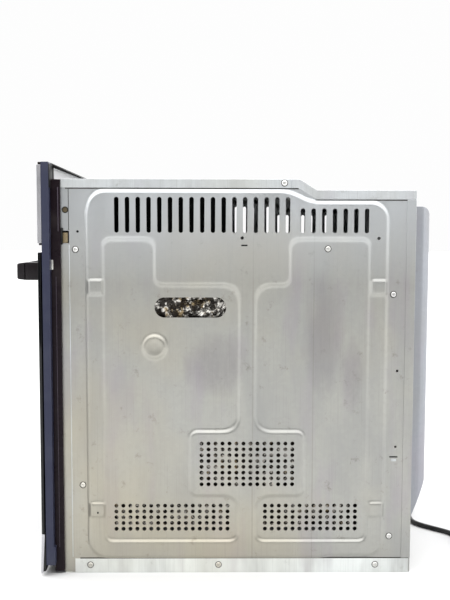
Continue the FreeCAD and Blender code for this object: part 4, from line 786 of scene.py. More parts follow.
@dataclass
class PressedRelief:
    """The relief drawn into each side: a raised ring, its spine and neck, a raised grille, a dimple and pads.

    Sizes are in millimetres, along the side from its front edge and up from its lower edge. A rectangle is
    its lowest corner and its highest one, and then the radius of its corners where it has its own.
    """

    wall: float = 6.4
    rise: float = 3.0
    corner: float = 11.0
    fillet: float = 2.4         # of the inner corners, in corners
    outer_fillet: float = 0.6   # of the outer ones, in fillets
    ring_rear: tuple = ((39.0, 26.0), (472.0, 547.5), 25.0)
    ring_front: tuple = ((39.0, 26.0), (400.0, 563.5), 25.0)
    ring_slope: tuple[float, float, float, float] = (334.0, 563.5, 0.597, 0.802)
    ring_fillet: float = 12.0
    fields: tuple = ((60.5, 48.5), (446.0, 494.3))
    grille: tuple = ((185.5, 116.5), (353.5, 213.0))
    neck: tuple = ((134.5, 428.0), (331.0, 620.0))
    spine_middle: float = 269.5
    spine_half: float = 12.0
    dimple: tuple[float, float] = (134.0, 337.4)
    dimple_steps: Sequence[tuple[float, float, float]] = ((0.9, 17.0, 6.4), (-0.2, 9.0, 9.0))
    pads: Sequence[tuple[float, float]] = ((49.7, 425.0), (49.7, 96.0), (460.3, 425.0), (460.3, 96.0))
    pad_half: float = 10.5
    pad_corner: float = 3.0
    pad_wall: float = 5.0
    pad_rise: float = 2.3

    def ring(self, along: float, up: float) -> float:
        """Distance to the outline of the raised ring with its step at the rear."""
        rear, front = (box_distance(along, up, *outline) for outline in (self.ring_rear, self.ring_front))
        start_a, start_u, lean_a, lean_u = self.ring_slope
        slope = (along - start_a) * lean_a + (up - start_u) * lean_u
        return soft_least(rear, -soft_least(-front, -slope, self.ring_fillet), self.ring_fillet)

    def field(self, along: float, up: float) -> float:
        """Distance to the two sunk fields inside the ring."""
        whole, grille, neck = (box_distance(along, up, *outline, self.corner)
                               for outline in (self.fields, self.grille, self.neck))
        spine = abs(along - self.spine_middle) - self.spine_half
        reach = self.corner * self.fillet
        high_part = soft_least(soft_least(spine, grille, reach), neck, reach)
        return -soft_least(-whole, high_part, reach * self.outer_fillet)

    def height(self, along: float, up: float) -> float:
        """Height of the sheet above its flat at a place."""
        level = swell(self.ring(along, up), self.wall) * (1.0 - swell(self.field(along, up), self.wall))
        for middle, height in self.pads:
            pad = box_distance(along, up, (middle - self.pad_half, height - self.pad_half),
                               (middle + self.pad_half, height + self.pad_half), self.pad_corner)
            level += self.pad_rise / self.rise * swell(pad, self.pad_wall)
        off = math.hypot(along - self.dimple[0], up - self.dimple[1])
        for share, radius, wall in self.dimple_steps:
            level += share * swell(off - radius, wall)
        return self.rise * level


@dataclass
class SidePanels:
    """The sides: the frame's sheet with its relief drawn again as softly as the press leaves it.

    Sizes are in millimetres, along the side from its front edge and up from its lower edge.
    """

    relief: PressedRelief = field(default_factory=PressedRelief)
    flat: float = 277.0
    sheet: float = 1.0
    front: float = -256.5
    cell: float = 2.0
    window: tuple[float, float, float, float] = (34.0, 478.0, 20.0, 568.0)
    step: tuple[float, float] = (350.0, 556.0)
    overrun: float = 5.0
    cut: tuple[float, float] = (262.0, 292.0)       # how far from the middle a cutter starts and ends
    punch_from: float = 265.0
    punch_length: float = 24.0
    hole_radius: float = 3.0
    hole_pitch: tuple[float, float] = (10.28, 8.7)
    # First hole along and up, and the number of columns and rows.
    hole_fields: Sequence[tuple[float, float, int, int]] = (
        (76.6, 66.4, 17, 5), (296.6, 66.4, 14, 5), (202.6, 134.2, 14, 8))
    slot_radius: float = 3.3
    slot_pitch: float = 15.43
    slot_foot: float = 503.2
    # First slot along, its height and the number of slots.
    slot_rows: Sequence[tuple[float, float, int]] = ((80.2, 51.3, 17), (348.6, 35.4, 7))
    pin_holes: Sequence[tuple[float, float]] = ((261.3, 496.0), (459.0, 495.8))
    pin_radius: float = 2.3
    grip: tuple[float, float] = (186.45, 395.2)
    grip_wide: float = 104.3
    grip_radius: float = 14.8
    crease: float = 34.0        # least angle in degrees that stays sharp inside the window
    fold: float = 3.0           # and outside it

    def relief_sheet(self) -> Mesh:
        """The relief as a sheet standing on the right side, flat parts joined, in metres."""
        near, far, low, high = self.window
        bm = sheet_grid(round((far - near) / self.cell), round((high - low) / self.cell), far - near, high - low)
        bmesh.ops.translate(bm, vec=((near + far) / 2, (low + high) / 2, 0.0), verts=bm.verts)
        for vert in bm.verts:
            vert.co.z = self.relief.height(vert.co.x, vert.co.y)
        bm.normal_update()
        level = {vert for vert in bm.verts if all(face.normal.z > 0.999999 for face in vert.link_faces)}
        calm = [vert for vert in bm.verts
                if vert in level and all(edge.other_vert(vert) in level for edge in vert.link_edges)]
        inner = set(calm)
        edges = [edge for edge in bm.edges if edge.verts[0] in inner and edge.verts[1] in inner]
        bmesh.ops.dissolve_limit(bm, angle_limit=0.001, verts=calm, edges=edges)
        stand = Matrix(((0, 0, MM, self.flat * MM), (MM, 0, 0, self.front * MM), (0, MM, 0, 0), (0, 0, 0, 1)))
        return snapped(moved(raised(bm, -self.sheet), stand))

    def openings(self) -> list[Mesh]:
        """Cutters for the punched holes, and for the slots, the pin holes and the long grip opening."""
        wide, tall = self.hole_pitch
        holes = [self.punch(first + column * wide, low + row * tall, self.hole_radius)
                 for first, low, columns, rows in self.hole_fields
                 for column in range(columns) for row in range(rows)]
        slots = [self.punch(first + index * self.slot_pitch, self.slot_foot + height / 2, self.slot_radius, tall=height)
                 for first, height, count in self.slot_rows for index in range(count)]
        slots += [self.punch(*place, self.pin_radius) for place in self.pin_holes]
        slots.append(self.punch(*self.grip, self.grip_radius, wide=self.grip_wide, steps=40))
        return [gather(holes), gather(slots)]

    def punch(self, along: float, up: float, radius: float, tall: float = 0.0, wide: float = 0.0,
              steps: int = 16) -> Mesh:
        """A cutter with round ends through the sheet.

        Args:
            along: middle of the hole.
            up: height of its middle.
            radius: half its least width.
            tall: height over all of an upright slot.
            wide: width over all of a level slot.
            steps: corners round a circle.

        Returns:
            The cutter, in metres.
        """
        bm = bmesh.new()
        bmesh.ops.create_circle(bm, cap_ends=True, segments=steps, radius=radius * MM)
        for vert in bm.verts:
            if tall:
                vert.co.y += math.copysign((tall / 2 - radius) * MM, vert.co.y)
            if wide:
                vert.co.x += math.copysign((wide / 2 - radius) * MM, vert.co.x)
        stand = Matrix(((0, 0, 1, self.punch_from * MM), (1, 0, 0, (self.front + along) * MM), (0, 1, 0, up * MM),
                        (0, 0, 0, 1)))
        return moved(raised(bm, self.punch_length * MM), stand)

    def area(self, near: float, far: float, low: float, high: float) -> Mesh:
        """A block through the sheet between two places along the side and two heights."""
        return snapped(block(mm(self.cut[0], self.front + near, low), mm(self.cut[1], self.front + far, high)))

    def build(self, frame: dict, finishes: dict[str, Finish]) -> None:
        """Set the drawn relief into a copy of the frame's right side and mirror it for the left."""
        near, far, low, high = self.window
        step, rear = self.step
        gaps = [self.area(near, step, low, high), self.area(step - 1.0, far, low, rear)]
        blank = joined(snapped(node_copy(frame, "side_panel_right")), gaps, Join.TAKE)
        cutters = self.openings() + [self.area(step, far + self.overrun, rear, high + self.overrun)]
        whole = joined(blank, [joined(self.relief_sheet(), cutters, Join.TAKE)], Join.ADD)
        for face in whole.faces:
            face.smooth = True
        for edge in whole.edges:
            place = (edge.verts[0].co + edge.verts[1].co) / 2
            inside = near < place.y / MM - self.front < far and low < place.z / MM < high
            edge.smooth = edge.calc_face_angle(math.pi) < math.radians(self.crease if inside else self.fold)
        left = mirrored(whole.copy())
        for hand, bm in (("right", whole), ("left", left)):
            node = f"side_panel_{hand}"
            make_piece(f"pressed_side_{hand}", bm, finishes[node], "root", [node], None)


@dataclass
class Fasteners:
    """Pan-head screws with a cross recess and a dark ring round each, a painted shadow, one for each head of the
    frame's node.
    """

    radius: float = 4.7 * MM
    height: float = 2.6 * MM
    shown: float = 0.86         # of the node's own height
    turn: float = 1.1           # radians from one head to the next, as hands leave them
    thin: float = 4 * MM        # a head thinner than this along Y sits on the back
    steps: int = 28
    # Radius and height of the dome's points as shares of the head, and half the sides of the cross's arms.
    dome: Sequence[tuple[float, float]] = (
        (0, 0), (0.97, 0), (1, 0.12), (0.99, 0.38), (0.9, 0.66), (0.72, 0.88), (0.4, 0.98), (0, 1))
    cross: tuple[float, float] = (0.56, 0.15)
    # Radius as a share of the head, and height in millimetres, of the points of the seat: the dark ring of painted
    # shadow round a head.
    seat: Sequence[tuple[float, float]] = ((0.8, -0.2), (1.22, -0.2), (1.22, 0.25), (1.1, 0.5), (0.8, 0.5))

    def head(self) -> Mesh:
        """One head on the XY plane, domed, with a cross recess."""
        r, h = self.radius, self.height
        bm = turned([(r * across, h * up) for across, up in self.dome], self.steps)
        arms = [block((-a * r, -b * r, h * 0.4), (a * r, b * r, h * 2)) for a, b in (self.cross, self.cross[::-1])]
        return joined(bm, arms, Join.TAKE)

    @staticmethod
    def boxes(node: bpy.types.Object) -> list[tuple[Vector, Vector]]:
        """The lowest and the highest corner of each separate solid of a node."""
        bm = bmesh.new()
        bm.from_mesh(node.data)
        bmesh.ops.remove_doubles(bm, verts=bm.verts, dist=SAME_SPOT)
        found, seen = [], set()
        for start in bm.verts:
            stack, island = [start], []
            while stack:
                vert = stack.pop()
                if vert not in seen:
                    seen.add(vert)
                    island.append(vert.co.copy())
                    stack.extend(edge.other_vert(vert) for edge in vert.link_edges)
            if island:
                found.append(tuple(Vector([pick(point[axis] for point in island) for axis in range(3)])
                                   for pick in (min, max)))
        bm.free()
        return found

    def build(self, frame: dict) -> None:
        """Seat a head with its dark ring of painted shadow on each of the node's solids."""
        heads, shadow_rings = [], []
        for index, (low, high) in enumerate(self.boxes(frame["nodes"]["casing_screws"])):
            middle = (low + high) / 2
            if high.y - low.y < self.thin:
                facing, seat = "+Y", (middle.x, low.y, middle.z)
            elif middle.x > 0:
                facing, seat = "+X", (low.x, middle.y, middle.z)
            else:
                facing, seat = "-X", (high.x, middle.y, middle.z)
            steps = TURN_TO[facing], Matrix.Translation(seat)
            half = self.shown * (high.z - low.z) / 2
            heads.append(moved(self.head(), Matrix.Rotation(index * self.turn, 4, "Z"),
                               Matrix.Scale(half / self.radius, 4), *steps))
            shadow_rings.append(moved(turned([(half * across, up * MM) for across, up in self.seat], self.steps), *steps))
        make_piece("pan_head_screws", gather(heads), Finishes.screw, stands_for=["casing_screws"])
        # Painted shadow: dark rings round the screw heads.
        make_piece("screw_shadow_rings", gather(shadow_rings), Finishes.mastic)


# ---------------------------------------------------------------- lead
@dataclass
class MainsLead:
    """The lead: gland, tapered strain relief, the free run, its coil and a two-pin plug.

    Sizes are in millimetres where they aren't multiplied by MM; the route's y is from the back sheet.
    """

    radius: float = 4 * MM
    length: float = 1.6         # metres
    route: Sequence[tuple[float, float, float]] = (
        (-150, 12, 34), (-150, 42, 31), (-127, 66, 16), (-85, 68, 4), (-40, 56, 4), (-8, 53, 4), (18, 57, 4),
        (44, 76, 4), (76, 104, 4), (104, 113, 4))
    tail: Sequence[tuple[float, float]] = ((104, 20), (90, 18.6), (78, 18), (66, 18))
    tail_beyond: float = 44
    coil_middle: tuple[float, float] = (118, 162)
    coil_start: float = -90
    coil_turns: float = 4.5
    per_turn: int = 24
    wide: float = 48
    # Degrees where the coil starts and ends to change, and its radius and height before and after.
    stages: Sequence[tuple[float, ...]] = (
        (222, 262, 48, 40, 4, 4), (538, 578, 40, 40, 4, 12), (854, 894, 40, 48, 12, 12), (1170, 1210, 48, 44, 12, 20))
    nut_radius: float = 9.6
    nut_height: float = 5.6
    sleeve_length: float = 36
    sleeve_ends: tuple[float, float] = (6.4, 4.9)
    ribs: int = 7
    exit_beyond: float = 12     # how far behind the back the free lead starts
    plug_face: tuple[float, float] = (33, 18)
    plug_outline: Sequence[tuple[float, float]] = (
        (0, 0), (16.6, 0), (17.7, 0.5), (18, 1.6), (18, 6.5), (17.4, 7.6), (16.4, 8.2), (16.2, 10), (15.8, 13),
        (15.2, 13.4), (15.2, 14.6), (15.4, 15), (14.6, 18.2), (14, 18.6), (14, 19.8), (14.1, 20.2), (13, 24),
        (11, 28.5), (8.8, 31), (7.4, 32), (6.9, 33.5), (6.9, 37.6), (6.4, 38))
    pin_outline: Sequence[tuple[float, float]] = ((0, 0), (1.5, 0), (2.2, 0.6), (2.4, 1.5), (2.4, 19.4), (0, 19.4))
    pin_offset: float = 9.5
    pin_reach: float = 19

    def coil_at(self, angle: float) -> tuple[float, float]:
        """Radius and height of the coil at an angle in degrees."""
        radius, height = self.wide, self.route[-1][2]
        for start, end, first, last, low, high in self.stages:
            if angle >= start:
                share = eased((angle - start) / (end - start))
                radius, height = first + (last - first) * share, low + (high - low) * share
        return radius, height

    def points(self, back: float) -> list[Vector]:
        """Control points of the whole lead, in metres."""
        found = [Vector((x * MM, back + y * MM, z * MM)) for x, y, z in self.route]
        across, along = self.coil_middle
        for step in range(int(self.coil_turns * self.per_turn) + 1):
            angle = self.coil_start + step * 360 / self.per_turn
            radius, height = self.coil_at(angle)
            turn = math.radians(angle)
            found.append(Vector(((across + radius * math.cos(turn)) * MM,
                                 back + (along + radius * math.sin(turn)) * MM, height * MM)))
        return found + [Vector((x * MM, back + (along + self.tail_beyond) * MM, z * MM)) for x, z in self.tail]

    def build(self, back: float) -> None:
        """Make the lead and everything on it.

        Args:
            back: where the back sheet's outside lies.
        """
        points = self.points(back)
        lead = strand("mains_lead", points, self.radius, 5, 4)
        lead.data.materials.append(Finishes.rubber.material())
        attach(lead, "root")
        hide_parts("power_cord", "cord_coil")
        relief = self.relief(points[0])
        plug = self.plug(points[-1])

    def sleeve(self) -> list[tuple[float, float]]:
        """Profile of the tapered ribbed sleeve, from the nut's top up."""
        (start, end), pitch = self.sleeve_ends, self.sleeve_length / self.ribs
        profile = []
        for index in range(self.ribs):
            size, low = start + (end - start) * index / self.ribs, pitch * index
            profile += [(size, low), (size, low + pitch * 0.55), (size - 0.9, low + pitch * 0.66),
                        (size - 0.9, low + pitch * 0.94)]
        top = self.sleeve_length + 0.4
        return profile + [(end, self.sleeve_length), (end - 0.5, top), (self.radius * 0.6 / MM, top)]

    def relief(self, exit_at: Vector) -> bpy.types.Object:
        """Hexagonal gland against the back and the tapered sleeve on the lead."""
        seat = Vector((exit_at.x, exit_at.y - self.exit_beyond * MM, exit_at.z))
        nut = bmesh.new()
        bmesh.ops.create_cone(nut, cap_ends=True, segments=6, radius1=self.nut_radius * MM,
                              radius2=self.nut_radius * MM, depth=self.nut_height * MM)
        ease_edges(nut, 0.7 * MM, 3)
        moved(nut, at(0, 0, self.nut_height / 2))
        profile = [(4, 0), (6.4, 5)] + [(size, self.nut_height + height) for size, height in self.sleeve()]
        bm = gather([nut, turned([mm(*point) for point in profile], 36)])
        return make_piece("lead_gland", moved(bm, TURN_TO["+Y"], Matrix.Translation(seat)), Finishes.plastic,
                          stands_for=["cord_gland"])

    def plug(self, end: Vector) -> bpy.types.Object:
        """Moulded two-pin plug with a ribbed grip and a sleeve."""
        across, up = mm(*self.plug_face)
        steps = TURN_TO["+X"], Matrix.Translation((across, end.y, up))
        profile = [mm(*point) for point in self.plug_outline]
        body = turned(profile + [(self.radius * 0.6, profile[-1][1])], 48)
        pins = gather(moved(turned([mm(*point) for point in self.pin_outline], 20),
                            at(0, side * self.pin_offset, -self.pin_reach)) for side, _ in SIDES)
        piece = make_piece("mains_plug", moved(body, *steps), Finishes.plastic, stands_for=["power_plug"])
        make_piece("plug_pins", moved(pins, *steps), Finishes.hinge).parent = piece
        return piece


# ---------------------------------------------------------------- door and controls
@dataclass
class DoorSprings:
    """The two balance springs of the door, wound from wire between their end cups, in millimetres."""

    offset: float = 231.5
    middle: float = -274.8
    foot: float = 60.0
    top: float = 150.0
    coil: float = 5.0
    wire: float = 0.95
    turns: int = 20
    per_turn: int = 18
    open_share: float = 0.866   # of the length that is left with the door open

    def winding(self) -> Mesh:
        """One spring standing on the origin, in metres."""
        count = self.turns * self.per_turn
        rise = self.top - self.foot - 2 * self.wire
        points = []
        for index in range(count + 1):
            turn = math.tau * index / self.per_turn
            points.append(mm(self.coil * math.cos(turn), self.coil * math.sin(turn), self.wire + rise * index / count))
        holder = strand("winding", points, self.wire * MM, 1, 2)
        bm = evaluated(holder)
        bpy.data.curves.remove(holder.data)
        return bm

    def build(self) -> None:
        """Make both springs as one piece on the door."""
        parts = [moved(self.winding(), at(side * self.offset, self.middle, self.foot)) for side, _ in SIDES]
        springs = make_piece("balance_springs", gather(parts), Finishes.hinge, "door", ["hinge_springs"], 50.0)
        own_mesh(springs)


@dataclass
class Controls:
    """Push-in knobs, dial marks and the clock of the fascia, in millimetres."""

    knob_offset: float = 185.0
    knob_height: float = 545.0
    face: float = -288.3
    back: float = -270.3
    fascia: float = -287.5
    # Radius and depth of the points of the knob's rim and dished face.
    rim: Sequence[tuple[float, float]] = (
        (20.2, -6.0), (20.5, -5.6), (20.5, -1.3), (20.2, -0.5), (19.4, 0.0), (18.3, -0.05), (17.6, -0.6),
        (16.9, -0.65), (15.8, -0.25), (9.0, -0.75), (0, -0.95))
    marks: int = 11
    mark_half: float = 0.45
    mark_from: float = 24.0
    mark_long: float = 3.8
    mark_short: float = 2.2
    mark_first: float = 135.0   # degrees
    mark_step: float = 27.0
    # The bars that are lit in each digit of 12:00, where it stands, and the colon's heights.
    digits: Sequence[tuple[float, str]] = ((-22.5, "bc"), (-10.5, "abged"), (4.5, "afcdeb"), (16.5, "abcdef"))
    colon: tuple[float, float] = (-3.2, 3.2)
    # Middle of each of the seven bars, and whether it lies level.
    bars: ClassVar[dict[str, tuple[float, float, bool]]] = {
        "a": (0, 7, True), "b": (3.5, 3.5, False), "c": (3.5, -3.5, False), "d": (0, -7, True),
        "e": (-3.5, -3.5, False), "f": (-3.5, 3.5, False), "g": (0, 0, True)}

    def build(self) -> None:
        """Make the knobs, their marks and the clock."""
        self.knobs()
        self.dials()
        self.clock()

    def knob(self) -> Mesh:
        """A dished knob with a rounded rim, a grip groove and a raised pointer, facing up at the origin."""
        deep = self.face - self.back
        outline = [(0, deep), (19.4, deep), (20.2, deep + 0.8), *self.rim]
        pointer = block(mm(-0.8, 7.0, -0.9), mm(0.8, 15.2, -0.02), 0.3 * MM, 2)
        return gather([turned([mm(*point) for point in outline], 72), pointer])

    def knobs(self) -> None:
        """Seat a knob on each spindle."""
        for name in ("function", "temperature"):
            across = math.copysign(self.knob_offset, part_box(f"{name}_knob")[0].x)
            bm = moved(self.knob(), TURN_TO["-Y"], at(across, self.face, self.knob_height))
            make_piece(f"{name}_push_knob", bm, Finishes.plastic, f"{name}_knob", [f"{name}_knob"], 30.0)

    def dials(self) -> None:
        """Print a ring of marks round each knob, every fifth one long."""
        for side, hand in reversed(SIDES):
            ticks = []
            for index in range(self.marks):
                end = self.mark_from + (self.mark_short if index % 5 else self.mark_long)
                tick = block(mm(-self.mark_half, self.mark_from, -0.1), mm(self.mark_half, end, 0.06))
                turn = math.radians(self.mark_first - self.mark_step * index)
                ticks.append(moved(tick, Matrix.Rotation(turn, 4, "Z")))
            bm = moved(gather(ticks), TURN_TO["-Y"], at(side * self.knob_offset, self.fascia, self.knob_height))
            make_piece(f"dial_marks_{hand}", bm, Finishes.ink, smooth=None)

    def clock(self) -> None:
        """Set plain seven-bar digits behind the timer's window."""
        parts = [moved(self.digit(bars), at(across, 0, 0)) for across, bars in self.digits]
        parts += [block(mm(-4.0, height - 0.9, -0.2), mm(-2.2, height + 0.9, 0.2)) for height in self.colon]
        low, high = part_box("timer_window")
        place = Matrix.Translation(((low.x + high.x) / 2, low.y, (low.z + high.z) / 2))
        make_piece("clock_digits", moved(gather(parts), TURN_TO["-Y"], place), Finishes.lit, smooth=None)

    def digit(self, bars: str) -> Mesh:
        """One digit 8 by 15 mm from some of the seven bars a to g."""
        parts = []
        for across, up, level in (self.bars[bar] for bar in sorted(bars)):
            wide, tall = (2.8, 0.6) if level else (0.6, 2.8)
            parts.append(block(mm(across - wide, up - tall, -0.2), mm(across + wide, up + tall, 0.15)))
        return gather(parts)


# ---------------------------------------------------------------- fittings
@dataclass
class FrontDetails:
    """Small fittings of the front edge, and strips of painted shadow, shade and highlight along the sheets, the same on
    both sides.
    """

    # Name, lowest and highest corner on the right, finish and how far the edges are rounded, in millimetres.
    rows: Sequence[tuple] = (
        ("fascia_clip", (288.0, -285.6, 598.6), (296.5, -281.4, 602.6), Finishes.plastic, 0.3),
        ("fascia_foot", (287.0, -285.4, 485.2), (296.8, -281.6, 488.2), Finishes.plastic, 0.4),
        ("frame_tab", (282.4, -270.9, 450.0), (283.6, -267.4, 464.0), Finishes.screw, 0.3),
        # Painted highlights: dull mauve lines along the frame's ridge and edge.
        ("frame_ridge_highlight", (282.4, -260.4, 505.0), (283.4, -259.0, 568.0), Finishes.ridge, 0.4),
        ("frame_edge_highlight", (282.4, -264.0, 40.0), (283.0, -263.2, 440.0), Finishes.ridge, 0.2),
        ("frame_bulge", (276.8, -258.2, 486.0), (281.0, -253.6, 510.0), Finishes.seal, 1.2),
        ("latch_bracket", (271.0, -255.0, 488.5), (275.4, -247.0, 503.2), Finishes.latch, 0.6),
        # Painted highlight: a pale bead along the front fold of the side.
        ("fold_highlight_bead", (276.8, -245.6, 24.0), (277.5, -244.2, 486.0), Finishes.flange, 0.3),
        # Painted shade: a dark strip along the fold above the notch.
        ("upper_fold_shadow", (276.8, -245.8, 507.0), (277.3, -245.0, 565.6), Finishes.mastic, 0.15),
        # Painted shade: a black plate behind the top of the side trims, where their backs would catch light.
        ("trim_backing", (262.8, -270.4, 567.0), (297.0, -269.6, 600.5), Finishes.seal, 0.2),
        ("bush_plate", (272.6, -254.6, 531.0), (273.6, -245.8, 540.6), Finishes.latch, 0.3),
        # Painted shadows: dark lines under the edges of the top and rear covers.
        ("cover_joint", (276.8, -250.0, 565.9), (277.6, 86.0, 567.4), Finishes.mastic, 0.2),
        ("rear_cover_shadow_line", (276.8, 110.0, 549.8), (277.6, 254.0, 551.2), Finishes.mastic, 0.2),
        # A black strip stands for the rear slit, with the shade inside it painted; the dent below is the brighter
        # sheet, a painted highlight.
        ("rear_slit", (276.8, 223.5, 173.6), (277.5, 235.5, 175.6), Finishes.seal, 0.2),
        ("rear_dent", (276.5, 226.0, 168.0), (277.5, 233.5, 171.6), Finishes.flange, 0.5),
        # Black strips stand for a slit and a hole, with the shade inside them painted.
        ("middle_slit", (279.8, 3.5, 484.2), (280.4, 12.5, 486.4), Finishes.seal, 0.2),
        ("pad_hole", (281.9, -208.0, 90.5), (282.4, -205.6, 93.5), Finishes.seal, 0.3),
        # Painted shadow: a dark line along the top of the base rail.
        ("rail_shadow_line", (276.8, -234.0, 20.6), (277.9, 254.0, 22.6), Finishes.mastic, 0.2),
    )
    bush_at: tuple[float, float, float] = (276.9, -250.2, 535.8)
    bush: Sequence[tuple[float, float]] = ((3.4, 0), (4.7, 0), (4.7, 0.3), (4.2, 0.6), (3.4, 0.6))
    lip: tuple = ((-271.0, -271.6, 599.2), (271.0, -269.9, 602.8))
    liner_inside: float = -282.4
    liner_outside: float = -284.2
    liner_lean: float = 0.034

    def build(self) -> None:
        """Make every fitting on the right and mirror it to the left, then those on the middle."""
        for name, low, high, finish, width in self.rows:
            for side, hand in SIDES:
                bm = block(mm(*low), mm(*high), width * MM)
                make_piece(f"{name}_{hand}", bm if side > 0 else mirrored(bm), finish)
        for side, hand in SIDES:
            self.stay(hand)
            across, along, up = self.bush_at
            rim = moved(turned([mm(*point) for point in self.bush]), TURN_TO["+X" if side > 0 else "-X"],
                        at(side * across, along, up))
            make_piece(f"bush_rim_{hand}", rim, Finishes.mastic)
        self.liner()
        make_piece("housing_lip", block(mm(*self.lip[0]), mm(*self.lip[1]), 0.4 * MM), Finishes.rubber)

    def stay(self, hand: str) -> None:
        """Bend a black strip into a stay between the housing and the top cover."""
        low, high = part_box(f"stay_{hand}")
        strip = block((low.x, low.y, -4.4 * MM), (high.x, high.y, 0.0), 0.4 * MM)
        for vert in strip.verts:
            share = (vert.co.y - low.y) / (high.y - low.y)
            vert.co.z = vert.co.z * (1 - 0.55 * share) + high.z - share * (high.z - low.z - 1.6 * MM)
        leg = block(low, (high.x, low.y + 1.2 * MM, high.z - 1 * MM), 0.3 * MM)
        foot = block((low.x, high.y - 7 * MM, low.z), (high.x, high.y, low.z + 1.2 * MM), 0.3 * MM)
        make_piece(f"bent_stay_{hand}", gather([strip, leg, foot]), Finishes.seal, stands_for=[f"stay_{hand}"])

    def liner(self) -> None:
        """Line the inside of the door's leaning bottom trim with black plastic, painted shade over its bright steel."""
        low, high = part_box("door_bottom_trim")
        bm = block((low.x + 0.6 * MM, self.liner_outside * MM, 8 * MM),
                   (high.x - 0.6 * MM, self.liner_inside * MM, high.z - 2 * MM), 0.2 * MM)
        for vert in bm.verts:
            if vert.co.y < (self.liner_inside - 1) * MM:
                vert.co.y -= (high.z - vert.co.z) * self.liner_lean
        make_piece("bottom_trim_shade_liner", bm, Finishes.rubber, "door", smooth=30.0)


@dataclass
class DuctWalls:
    """Dark sheet walls of the cooling duct under the top cover, behind the front slots, in millimetres."""

    offset: float = 150.0
    sheet: float = 0.8
    foot: float = 14.0
    low: tuple[float, float] = (-248.0, 467.0)
    high: tuple[float, float] = (-12.0, 560.0)

    def build(self) -> None:
        """Make one wall on each side, with a folded foot."""
        for side, hand in SIDES:
            bm = gather(block(mm(self.offset, *self.low), mm(self.offset + wide, self.high[0], top), 0.2 * MM)
                        for wide, top in ((self.sheet, self.high[1]), (self.foot, self.low[1] + self.sheet)))
            make_piece(f"duct_wall_{hand}", bm if side > 0 else mirrored(bm), Finishes.seal)


@dataclass
class FoilSkin:
    """Crumpled foil over the sides of the insulation, seen through the openings of the casing."""

    gap: float = 5.0 * MM
    depth: float = 4.2 * MM
    thickness: float = 0.15 * MM
    cells: tuple[int, int] = (130, 120)
    # Folds to the metre, and their share of the depth.
    folds: Sequence[tuple[float, float]] = ((26.0, 0.5), (61.0, 0.32), (140.0, 0.18))

    def build(self) -> None:
        """Make one crumpled sheet on each side of the blanket."""
        low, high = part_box("insulation")
        for side, hand in SIDES:
            bm = sheet_grid(*self.cells, high.y - low.y, high.z - low.z)
            for vert in bm.verts:
                spot = Vector((vert.co.x, vert.co.y, side * 0.3))
                ridge = sum(share * (1.0 - 2.2 * abs(noise.noise(spot * scale))) for scale, share in self.folds)
                vert.co.z = self.depth * (ridge - 0.5)
            stand = Matrix(((0, 0, side, 0), (1, 0, 0, 0), (0, 1, 0, 0), (0, 0, 0, 1)))
            place = (side * (high.x + self.gap), (low.y + high.y) / 2, (low.z + high.z) / 2)
            moved(bm, stand, Matrix.Translation(place))
            bmesh.ops.solidify(bm, geom=bm.faces, thickness=self.thickness)
            bmesh.ops.recalc_face_normals(bm, faces=bm.faces)
            make_piece(f"foil_skin_{hand}", bm, Finishes.foil, smooth=None)


@dataclass
class EasedNodes:
    """Frame nodes whose shape is right and whose edges are rounded as the real ones are."""

    # Name, how far the rounding reaches in millimetres, and the faces across it.
    rows: Sequence[tuple[str, float, int]] = (
        ("side_trim_right", 0.8, 3), ("side_trim_left", 0.8, 3), ("control_housing", 0.5, 2),
        ("top_cover_front", 0.45, 2), ("top_cover_rear", 0.45, 2), ("base_tray", 0.45, 2),
        ("rear_panel", 0.4, 2), ("door_outer_glass", 0.6, 3), ("door_inner_glass", 0.5, 2),
        ("timer_window", 0.4, 2), ("front_frame", 0.6, 2), ("door_frame", 0.4, 2),
        ("control_fascia", 0.45, 2), ("door_bottom_trim", 0.6, 2), ("function_switch", 0.8, 2),
        ("thermostat", 0.8, 2), ("cooling_fan_housing", 0.5, 2), ("hinge_arm_right", 0.4, 2),
        ("hinge_arm_left", 0.4, 2), ("hinge_body_right", 0.4, 2), ("hinge_body_left", 0.4, 2),
        ("door_handle", 1.4, 3), ("handle_brackets", 1.0, 3), ("rear_cover", 0.8, 2), ("door_top_rail", 0.4, 2),
        ("timer_button_minus", 0.3, 2), ("timer_button_mode", 0.3, 2), ("timer_button_plus", 0.3, 2),
    )

    def build(self, frame: dict, finishes: dict[str, Finish]) -> None:
        """Make each copy on the body of its node."""
        bodies = frame["record"]["behaviour"]["bodies"]
        home = {node: body for body, nodes in bodies.items() for node in nodes}
        for node, width, segments in self.rows:
            bm = node_copy(frame, node)
            ease_edges(bm, width * MM, segments)
            make_piece(f"eased_{node}", bm, finishes[node], home[node], [node], 20.0)


